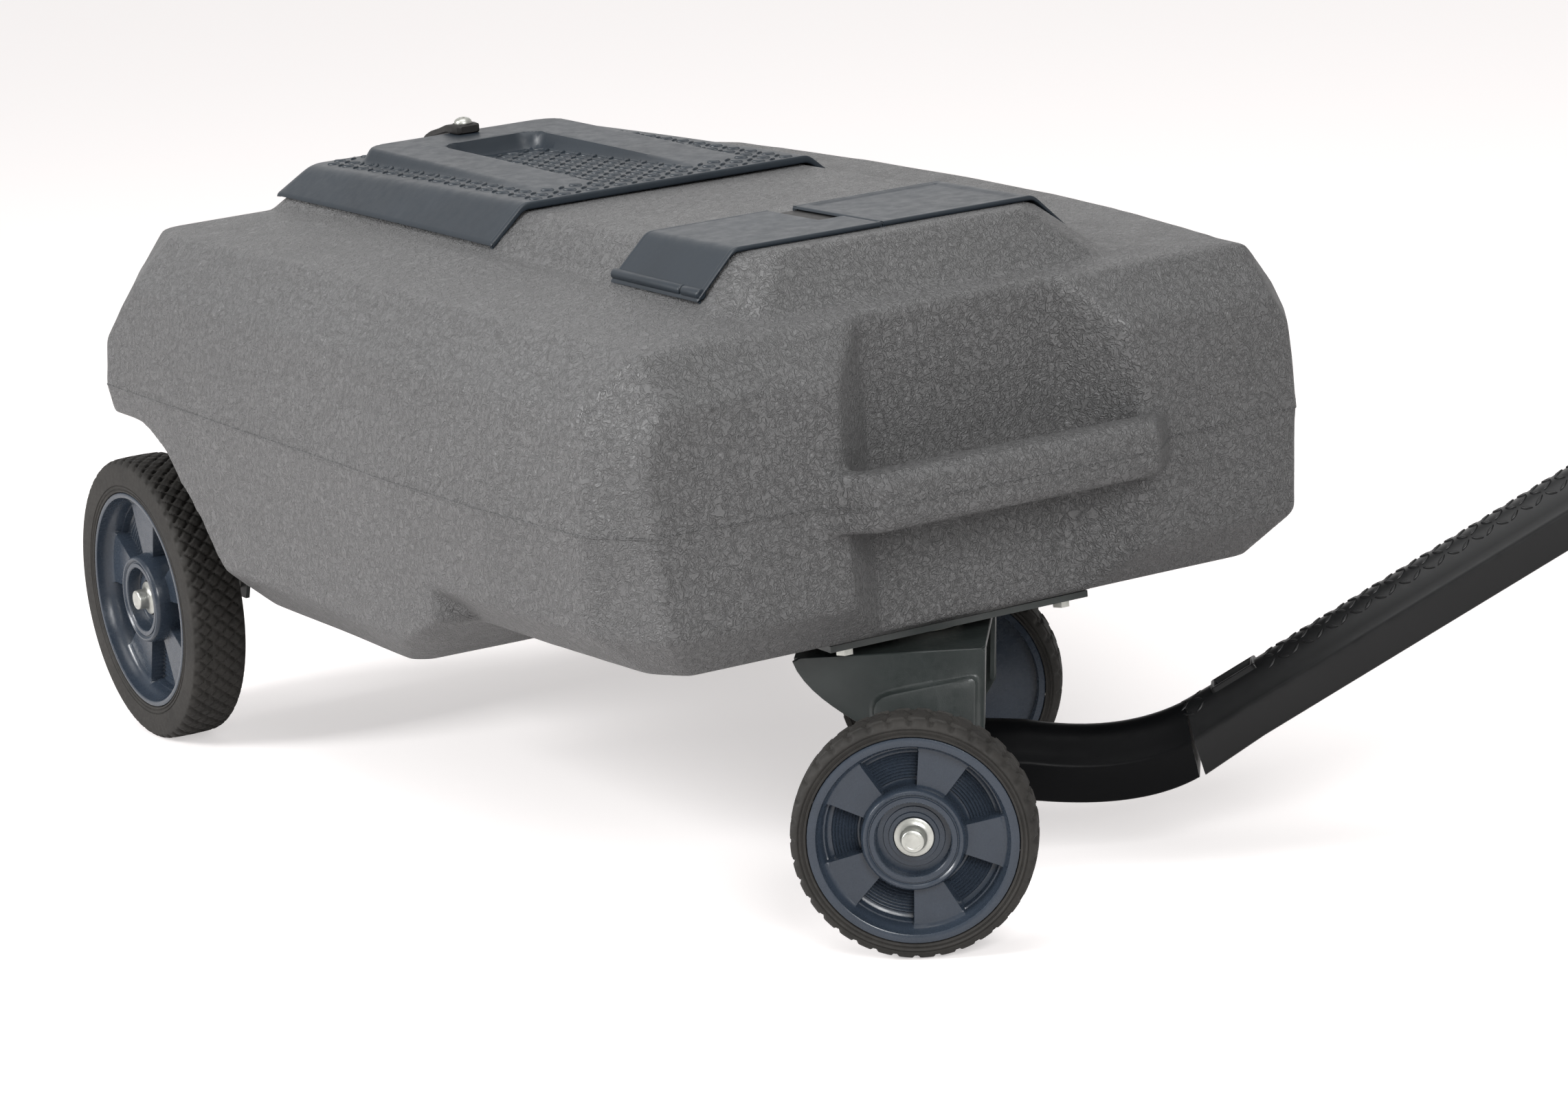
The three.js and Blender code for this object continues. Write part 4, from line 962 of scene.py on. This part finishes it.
def cheek_part(sign):
    """One pressed cheek of the saddle, with its raised pocket, in the steering frame."""
    arc = [(26 * math.cos(a), FRONT_AXLE_Z + 26 * math.sin(a))
           for a in np.linspace(math.pi, 2 * math.pi, 14)]
    outline = np.concatenate([bezier([(-106, 216), (-100, 186), (-46, 152)], 12), [(-36, 112)],
                              np.array(arc), [(38, 118), (52, 140), (57.6, 216)]])
    pocket = fillet([(-42, 178, 18), (48, 192, 6), (44, 142, 6), (33, 122, 8), (20, 92, 12),
                     (-20, 92, 12), (-32, 120, 8)], 8, 4)
    centre = np.array([0.0, 150.0])
    angles = np.linspace(0, 2 * math.pi, 128, endpoint=False)
    far = ray_hits(outline, centre, angles)
    near = np.minimum(ray_hits(pocket, centre, angles), far - 5)
    outer, back = 96.0, 92.0
    levels = [(far, -0.6, back), (far, 0, back + 0.5), (far, 0, outer - 0.9), (far, -0.9, outer),
              (near, 5.0, outer), (near, 3.0, outer + 0.5), (near, 1.4, outer + 2.2),
              (near, 0.2, outer + 4.2), (near, -1.6, outer + 5.0)]
    rings = []
    for reach, grow, depth in levels:
        r = np.minimum(reach + grow, far - 0.1 if reach is near else reach + grow)
        rings.append([(centre[0] + r[i] * math.cos(a), sign * depth, centre[1] + r[i] * math.sin(a))
                      for i, a in enumerate(angles)])
    return loft(rings)


def bracket_piece():
    parts = [cheek_part(1), cheek_part(-1)]
    roof = fillet([(-104, -95), (57.6, -95), (57.6, 95), (-104, 95)], 4)
    hole = 9.6                    # radius of the kingpin's hole
    angles = np.linspace(0, 2 * math.pi, 96, endpoint=False)
    far = ray_hits(roof, np.zeros(2), angles)
    rings = []
    for z, reach in ((212.2, hole), (212.2, far), (215.2, far), (215.9, far - 0.8), (215.9, hole)):
        r = np.broadcast_to(reach, angles.shape)
        rings.append([(r[i] * math.cos(a), r[i] * math.sin(a), z) for i, a in enumerate(angles)])
    parts.append(lattice(rings, close_rows=True, close_cols=True))
    for sign in (1, -1):
        edge = sorted((sign * 72.5, sign * 95.6))
        outline = [(48, 145), (51.6, 143.4), (57.6, 215.5), (54, 215.5)]
        rings = [[(s, y, z) for s, z in fillet(outline, 1.2)] for y in
                 (edge[0] + 0.01, edge[0] + 0.6, edge[1] - 0.6, edge[1] - 0.01)]
        parts.append(loft(rings))
        parts.append(turned([(9, 0), (19, 0), (19, 3), (15, 4.2), (9, 4.2)], 0.8, 48,
                            axis_frame((0, sign * 100.6, FRONT_AXLE_Z), (0, sign, 0))))
    make("steering_saddle", parts, "steering", "bracket_green", ["steering_bracket"],
         place=STEER_TURN)


bracket_piece()


# ---------------------------------------------------------------- drawbar and handle arm

BAR_HALF = 36.0
CROWN, BELOW, SHOULDER, ARM_LENGTH = 27.0, 27.0, 4.0, 560.0


def crown_height(y, half=BAR_HALF):
    """Height of the arched top of the bar at a distance y from its middle."""
    x0, z0 = half - 4.2, SHOULDER + 2.6
    t = 1 - np.abs(y) / x0
    return z0 + (CROWN - z0) * (1 - (1 - np.clip(t, 0, 1)) ** 2.1)


def unit_section(half=BAR_HALF):
    """Section of the handle: arched crown, shoulder bead, flat side and rounded foot, as (across,
    share of the height) points, counter-clockwise from the right foot."""
    right = [(half - 5, -BELOW), (half - 1.6, -BELOW + 1.2), (half, -BELOW + 5),
             (half + 0.2, SHOULDER - 6), (half + 0.2, SHOULDER - 2.4), (half - 0.4, SHOULDER - 0.6),
             (half - 2.0, SHOULDER + 0.8), (half - 4.2, SHOULDER + 2.6)]
    for k in range(1, 13):
        x = (half - 4.2) * (1 - k / 12)
        right.append((x, crown_height(x, half)))
    section = right + [(-x, z) for x, z in reversed(right[:-1])]
    return [(y, (z + BELOW) / (CROWN + BELOW)) for y, z in section]


def place_section(section, top, bottom):
    """Puts a unit section between two (s, z) points: bottom at -1 and top at +1."""
    top, bottom = np.array(top, float), np.array(bottom, float)
    up = top - bottom
    return [(bottom[0] + up[0] * t, y, bottom[1] + up[1] * t) for y, t in section]


def drawbar_piece():
    rings = []
    for alpha in (88, 70, 50, 32, 16):
        a = math.radians(alpha)
        narrow = unit_section(BAR_HALF - 6 * (math.sin(a) ** 6))
        rings.append(place_section(narrow, (-31 * math.sin(a), FRONT_AXLE_Z + 31 * math.cos(a)),
                                   (-31 * math.sin(a), FRONT_AXLE_Z - 31 * math.cos(a))))
    top = np.concatenate([np.linspace((0, 132.6), (80, 126), 8)[:-1],
                          bezier([(80, 126), (160, 108), (218, 135)], 22)])
    bottom = np.concatenate([np.linspace((0, 70.6), (90, 62), 8)[:-1],
                             bezier([(90, 62), (178, 50), (228, 76)], 22)])
    for t, b in zip(top, bottom):
        rings.append(place_section(unit_section(), t, b))
    rings.append(place_section(unit_section(BAR_HALF - 1), (218.3, 134.0), (227.6, 77.6)))
    parts = [loft(rings)]
    for sign in (1, -1):
        parts.append(turned([(8.35, 0), (24, 0), (24, 1.6), (14, 2.4), (8.35, 2.4)], 0.7, 48,
                            axis_frame((0, sign * 34.2, FRONT_AXLE_Z), (0, sign, 0))))
    # the drawbar wears the darker, shaded copy of the bar plastic: painted shade
    make("drawbar_shell", parts, "handle", "bar_black", ["drawbar"], place=STEER_TURN,
         look="drawbar")


ARM_ORIGIN = np.array([219.0, 104.0])
ARM_DIR = np.array([math.cos(HANDLE_PITCH), math.sin(HANDLE_PITCH)])
ARM_UP = np.array([-math.sin(HANDLE_PITCH), math.cos(HANDLE_PITCH)])
ARM_TO_STEER = Matrix(((ARM_DIR[0], 0, ARM_UP[0], ARM_ORIGIN[0]), (0, 1, 0, 0),
                       (ARM_DIR[1], 0, ARM_UP[1], ARM_ORIGIN[1]), (0, 0, 0, 1)))
ARM_PLACE = STEER_TURN @ ARM_TO_STEER
ARM_TREAD_PITCH = (12.0, 9.4)


def arm_ring(along, shrink=1.0):
    """One section square across the arm, at a distance along it."""
    middle = ARM_ORIGIN + ARM_DIR * along
    return place_section(unit_section(BAR_HALF * shrink), middle + ARM_UP * CROWN * shrink,
                         middle - ARM_UP * BELOW * shrink)


def arm_piece():
    rings = []
    seam_top, seam_foot = np.array([219.2, 136.0]), np.array([233.2, 77.6])
    for share in (0.0, 0.02, 0.25, 0.5, 0.75, 1.0):
        middle = ARM_ORIGIN + ARM_DIR * (2 + 58 * share)
        lean = 1 - share
        shift = ARM_DIR * 58 * share
        rings.append(place_section(unit_section(),
                                   (middle + ARM_UP * CROWN) * share + (seam_top + shift) * lean,
                                   (middle - ARM_UP * BELOW) * share + (seam_foot + shift) * lean))
    rings += [arm_ring(along) for along in np.linspace(66, ARM_LENGTH - 30, 24)]
    rings += [arm_ring(ARM_LENGTH - back, shrink)
              for back, shrink in ((14, 0.97), (4, 0.88), (0, 0.74))]
    piece = make("handle_arm_shell", [loft(rings)], "handle", "bar_black")
    boolean_cut(piece, turn_part(block((44, -11, -8), (80, 11, 60), 2), ARM_TO_STEER))
    piece.data.transform(STEER_TURN)
    finish_mesh(piece.data, "bar_black", SHARP)
    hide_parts("handle_arm")

    parts = []
    for i in range(43):
        for j in range(-2, 3):
            along, y = 14 + i * ARM_TREAD_PITCH[0], j * ARM_TREAD_PITCH[1]
            if 34 < along < 90 and abs(y) < 20:
                continue
            slope = (crown_height(abs(y) + 0.5) - crown_height(max(abs(y) - 0.5, 0))) * np.sign(y)
            turn = 1 if (i + j) % 2 else -1
            parts.append(lozenge(np.array([along, y, float(crown_height(y))]), (1, turn * 0.85, 0),
                                 (0, -float(slope), 1), 11.5, 3.6, 1.0))
    for x0, y0, x1, y1 in ((40.5, -14.5, 44.2, 14.5), (79.8, -14.5, 84.5, 14.5),
                           (40.5, -14.5, 84.5, -10.8), (40.5, 10.8, 84.5, 14.5)):
        parts.append(block((x0, y0, 6), (x1, y1, 27.8), 1.2))
    make("handle_arm_tread", parts, "handle", "bar_black", place=ARM_PLACE)


def fork_piece():
    """Two prongs, the cross tube between them and the rubber grip."""
    parts = []
    for sign in (1, -1):
        rings = []
        for t in np.linspace(0, 1, 14):
            x = ARM_LENGTH - 34 + (94 + 34 - 4) * t
            y = sign * (22 + (73 - 22) * (t * t * (3 - 2 * t)))
            half_w, half_h = 12 - 2 * t, 13 - 2.5 * t
            ring = fillet([(-half_w, -half_h), (half_w, -half_h), (half_w, half_h),
                           (-half_w, half_h)], 5, 4)
            rings.append([(x, y + a, -1 + b) for a, b in ring])
        parts.append(loft(rings))
        parts.append(turned([(0, -11), (16, -11), (16, 11), (0, 11)], 3, 40,
                            axis_frame((ARM_LENGTH + 90, sign * 72, -1), (0, 1, 0))))
    cross_tube = axis_frame((ARM_LENGTH + 90, 0, -1), (0, 1, 0))
    parts.append(turned([(0, -80), (12.8, -80), (12.8, 80), (0, 80)], 1.5, 40, cross_tube))
    make("handle_fork", parts, "handle", "bar_black", place=ARM_PLACE)
    outline = [(13.2, -52), (17, -52, 1.5)]
    for k in range(17):
        y = -46 + k * 5.75
        outline += [(17.2, y - 1.6, 0.8), (15.9, y, 0.6), (17.2, y + 1.6, 0.8)]
    outline += [(17, 52, 1.5), (13.2, 52)]
    make("handle_rubber_grip", [turned(outline, 0.4, 44, cross_tube, steps=2)], "handle",
         "rubber_black", ["handle_grip"], place=ARM_PLACE)


drawbar_piece()
arm_piece()
fork_piece()


# ---------------------------------------------------------------- hose, port, gauge, rinse cap

def hose_piece():
    """Corrugated hose in its bay, folded into a flat U, with a smooth cuff at each end."""
    leg, height, turn_x, start_x = 54.0, 458.0, -742.0, -470.0
    straight = np.array([(x, -leg, height) for x in np.arange(start_x, turn_x, -1.5)])
    arc = np.array([(turn_x - leg * math.sin(a), -leg * math.cos(a), height)
                    for a in np.linspace(0, math.pi, 112)])
    path = np.concatenate([straight, arc, straight[::-1] * np.array([1, -1, 1])])
    tangent = np.gradient(path, axis=0)
    tangent /= np.linalg.norm(tangent, axis=1)[:, None]
    side = np.cross(tangent, [0, 0, 1])
    run = np.concatenate([[0], np.cumsum(np.linalg.norm(np.diff(path, axis=0), axis=1))])
    total = run[-1]
    cuff = np.minimum(run, total - run) < 34
    ripple = 36.2 + 1.6 * np.cos(run / 7.5 * 2 * math.pi)
    outer = np.where(cuff, 37.2, ripple)
    angles = np.linspace(0, 2 * math.pi, 36, endpoint=False)

    def skin(radius):
        return (path[:, None, :] + side[:, None, :] * (radius[:, None] * np.cos(angles))[:, :, None]
                + np.array([0, 0, 1.0]) * (radius[:, None] * np.sin(angles))[:, :, None])

    out, inside = skin(outer), skin(outer - 2.6)
    rings = np.concatenate([out, inside[::-1]], 0)
    make("corrugated_hose", [lattice(rings, close_rows=True, close_cols=True)], "tank",
         "hose_brown", ["waste_hose"])


def ribs(count, low, high, radius):
    """Grip ribs evenly round a cap that stands on Z."""
    return [turn_part(block(low, high, radius), Matrix.Rotation(2 * math.pi * k / count, 4, "Z"))
            for k in range(count)]


def port_pieces():
    """Bayonet waste port on the rear face and its lugged cap."""
    z, face = 262.0, 945.35
    neck = [(36, 906), (41, 906), (41, face), (56, face, 0.4), (56, face + 4.5, 1.5),
            (46, face + 6, 2), (41, face + 8, 2), (41, face + 40, 0.8), (36, face + 40, 0.8)]
    place = axis_frame((0, 0, z), (-1, 0, 0))
    parts = [turned(neck, 0.5, 72)]
    for a in np.radians((45, 135, 225, 315)):
        boss = Matrix.Translation((50.5 * math.cos(a), 50.5 * math.sin(a), face + 3.4))
        parts.append(turned([(0, 0), (4.6, 0), (4.6, 2.6), (0, 3.6)], 0.8, 24, boss))
    make("port_neck", parts, "tank", "cover_slate", ["waste_port"], place=place)
    start, end = face + 12, face + 46
    cup = [(41.35, start), (47, start, 1), (47, end - 2, 1), (45, end, 2), (30, end, 1),
           (28, end - 1.6, 1), (0, end - 1.6, 0), (0, end - 5.5, 0), (41.35, end - 5.5, 0)]
    parts = [turned(cup, 0.5, 72)] + ribs(24, (45.6, -1.3, start + 4), (48.2, 1.3, end - 4), 0.7)
    for sign in (1, -1):
        parts.append(block((-9, sign * 52 - 8, start + 1), (9, sign * 52 + 8, start + 7), 2))
        parts.append(block((-3, sign * 30 - 14, end - 4), (3, sign * 30 + 14, end + 3), 1.5))
    make("port_bayonet_cap", parts, "port_cap", "cover_slate", ["port_cap"], place=place)


GAUGE_XY = (-92.0, -92.0)
RINSE_XY = (-92.0, -38.0)
BAY_FLOOR = 516.35


def gauge_pieces():
    top = BAY_FLOOR
    ring = [(0, top), (31, top), (31, top + 8, 1.4), (28.5, top + 13.6, 1.4), (26, top + 14, 0.6),
            (26, top + 9, 0.5), (0, top + 9)]
    stem = [(0, 486), (16, 486), (16, top + 1), (0, top + 1)]
    place = Matrix.Translation((*GAUGE_XY, 0))
    parts = [turned(ring, 0.5, 64), turned(stem, 0.8, 48)]
    for k in range(11):
        tick = block((18.5, -0.5, top + 8.6), (23.5, 0.5, top + 9.5), 0.2)
        parts.append(turn_part(tick, Matrix.Rotation(math.radians(60 + k * 24), 4, "Z")))
    for sign in (1, -1):
        parts.append(block((-7, sign * 8 - 2, 479), (7, sign * 8 + 2, 495), 1))
    make("gauge_housing", parts, "tank", "cover_slate", ["gauge_body"], place=place)
    hub = turned([(0, top + 5), (2, top + 5), (2, top + 9.3), (3.6, top + 9.5), (3.6, top + 11.2),
                  (0, top + 11.4)], 0.3, 32)
    hand = [[(x, y, z) for y, z in fillet([(-half, top + 9.8), (half, top + 9.8),
                                           (half, top + 11), (-half, top + 11)], 0.3)]
            for x, half in ((-20, 0.35), (-14, 0.9), (0, 1.6), (5, 1.2))]
    make("gauge_pointer", [hub, loft(hand)], "needle", "needle_red", ["gauge_needle"], place=place)
    lens = [(0, top + 12), (25.6, top + 12), (25.6, top + 13.2), (20, top + 13.8), (0, top + 14.3)]
    make("gauge_lens_disc", [turned(lens, 0.3, 64)], "tank", "clear", ["gauge_window"], place=place)


def rinse_pieces():
    top = BAY_FLOOR
    place = Matrix.Translation((*RINSE_XY, 0))
    neck = [(9, 496), (13, 496), (13, top), (19, top), (19, top + 4), (13, top + 4),
            (13, top + 16), (9, top + 16)]
    make("rinse_spout", [turned(neck, 0.6, 48)], "tank", "rim_navy", ["rinse_neck"], place=place)
    cup = [(13.35, top + 5), (17.2, top + 5, 0.6), (17.2, top + 20, 1.2), (15.6, top + 22, 1.2),
           (6, top + 22), (5, top + 21), (0, top + 21, 0), (0, top + 17, 0), (13.35, top + 17, 0)]
    parts = [turned(cup, 0.5, 56)] + ribs(20, (16.6, -1.0, top + 6.5), (18.0, 1.0, top + 20), 0.5)
    make("rinse_screw_cap", parts, "rinse_cap", "rim_navy", ["rinse_cap"], place=place)


def float_piece():
    """The float: a blow-moulded drum with rounded ends and a moulding seam."""
    drop = math.radians(32)
    x, z = -92 - 150 * math.cos(drop), 486 - 150 * math.sin(drop)
    outline = [(0, -31.5), (22, -31.5, 6), (26, -24, 5), (26, -1.4, 0.4), (26.8, -0.7, 0.3),
               (26.8, 0.7, 0.3), (26, 1.4, 0.4), (26, 24, 5), (22, 31.5, 6), (0, 31.5)]
    make("float_drum", [turned(outline, 2, 56, steps=4)], "float", "hose_brown", ["float"],
         place=axis_frame((x, -92, z), (0, 1, 0)))


hose_piece()
port_pieces()
gauge_pieces()
rinse_pieces()
float_piece()


# ---------------------------------------------------------------- pieces kept from the frame

NODE_SHARP = 28
NODE_BEVEL = 0.6


def dress_frame_nodes():
    """Every node still shown gets its material, smooth round faces and softened edges."""
    slots = {row["node"]: row["material_slot"] for row in frame["record"]["subparts"]}
    for name, node in frame["nodes"].items():
        node.data.materials.clear()
        node.data.materials.append(LOOKS[slots[name]])
        if node.hide_render:
            continue
        node.data.shade_smooth()
        node.data.set_sharp_from_angle(angle=math.radians(NODE_SHARP))
        bevel = node.modifiers.new("edge", "BEVEL")
        bevel.width = NODE_BEVEL * MM
        bevel.segments = 2
        bevel.limit_method = "ANGLE"
        bevel.angle_limit = math.radians(40)


dress_frame_nodes()


# ---------------------------------------------------------------- floor, light and camera

def seen_or(tree, seen, lit):
    """One value for what the camera sees directly and another for the light it gives."""
    rays = tree.nodes.new("ShaderNodeLightPath").outputs["Is Camera Ray"]
    pick = tree.nodes.new("ShaderNodeMix")
    tree.links.new(rays, pick.inputs[0])
    for socket, value in ((pick.inputs[2], lit), (pick.inputs[3], seen)):
        if isinstance(value, float):
            socket.default_value = value
        else:
            tree.links.new(value, socket)
    return pick.outputs[0]


def floor_piece():
    span = np.linspace(-9000, 9000, 9)
    verts, faces = lattice([[(x, y, 0) for y in span] for x in span])
    mesh = bpy.data.meshes.new("floor")
    mesh.from_pydata((verts * MM).tolist(), [], faces)
    made = bpy.data.materials.new("floor_paint")
    made.use_nodes = True
    bsdf = made.node_tree.nodes["Principled BSDF"]
    bsdf.inputs["Base Color"].default_value = (0.68, 0.66, 0.655, 1)
    bsdf.inputs["Roughness"].default_value = 0.8
    bsdf.inputs["Specular IOR Level"].default_value = 0.1
    bsdf.inputs["Emission Color"].default_value = (1.0, 0.97, 0.965, 1)
    made.node_tree.links.new(seen_or(made.node_tree, 0.5, 0.1), bsdf.inputs["Emission Strength"])
    mesh.materials.append(made)
    floor = bpy.data.objects.new("floor", mesh)
    bpy.context.scene.collection.objects.link(floor)


def area_light(name, place, target, size, power):
    data = bpy.data.lights.new(name, "AREA")
    data.shape = "RECTANGLE"
    data.size = data.size_y = size
    data.energy = power
    lamp = bpy.data.objects.new(name, data)
    lamp.location = Vector(place) + DATUM
    lamp.rotation_euler = (Vector(target) - Vector(place)).to_track_quat("-Z", "Y").to_euler()
    bpy.context.scene.collection.objects.link(lamp)


SENSOR_WIDTH, LENS = 36.0, 120.22508
AZIMUTH, ELEVATION, ROLL_ANGLE = (math.radians(v) for v in (61.15, 13.29, -4.63))
EYE = (3.752, -2.198, 1.310)


def lighting():
    world = bpy.data.worlds.new("studio")
    world.use_nodes = True
    back = world.node_tree.nodes["Background"]
    back.inputs["Color"].default_value = (1.0, 0.99, 0.985, 1)
    coords = world.node_tree.nodes.new("ShaderNodeTexCoord").outputs["Generated"]
    behind = world.node_tree.nodes.new("ShaderNodeVectorMath")
    behind.operation = "DOT_PRODUCT"
    behind.inputs[1].default_value = (-math.sin(AZIMUTH), math.cos(AZIMUTH), 0.35)
    world.node_tree.links.new(coords, behind.inputs[0])
    strength = remap(world.node_tree, behind.outputs["Value"], 0.84, 1.1, 0.5, 1.05)
    world.node_tree.links.new(seen_or(world.node_tree, 1.0, strength), back.inputs["Strength"])
    bpy.context.scene.world = world
    area_light("top", (-0.2, -0.4, 2.9), (-0.2, 0, 0.3), 2.4, 45)
    area_light("key", (-1.4, -3.6, 2.1), (-0.5, 0, 0.35), 1.4, 150)
    area_light("fill", (3.2, -0.9, 2.0), (0.0, 0, 0.35), 1.4, 100)


def camera():
    ahead = Vector((-math.sin(AZIMUTH) * math.cos(ELEVATION), math.cos(AZIMUTH) * math.cos(ELEVATION),
                    -math.sin(ELEVATION)))
    level = Vector((math.cos(AZIMUTH), math.sin(AZIMUTH), 0))
    upright = level.cross(ahead)
    right = math.cos(ROLL_ANGLE) * level + math.sin(ROLL_ANGLE) * upright
    up = -math.sin(ROLL_ANGLE) * level + math.cos(ROLL_ANGLE) * upright
    data = bpy.data.cameras.new("camera")
    data.sensor_width = SENSOR_WIDTH
    data.lens = LENS
    data.clip_start, data.clip_end = 0.1, 60
    eye = bpy.data.objects.new("camera", data)
    turn = Matrix((right, up, -ahead)).transposed().to_4x4()
    eye.matrix_world = Matrix.Translation(Vector(EYE) + DATUM) @ turn
    bpy.context.scene.collection.objects.link(eye)
    bpy.context.scene.camera = eye


floor_piece()
lighting()
camera()
bpy.context.scene.view_settings.view_transform = "Standard"
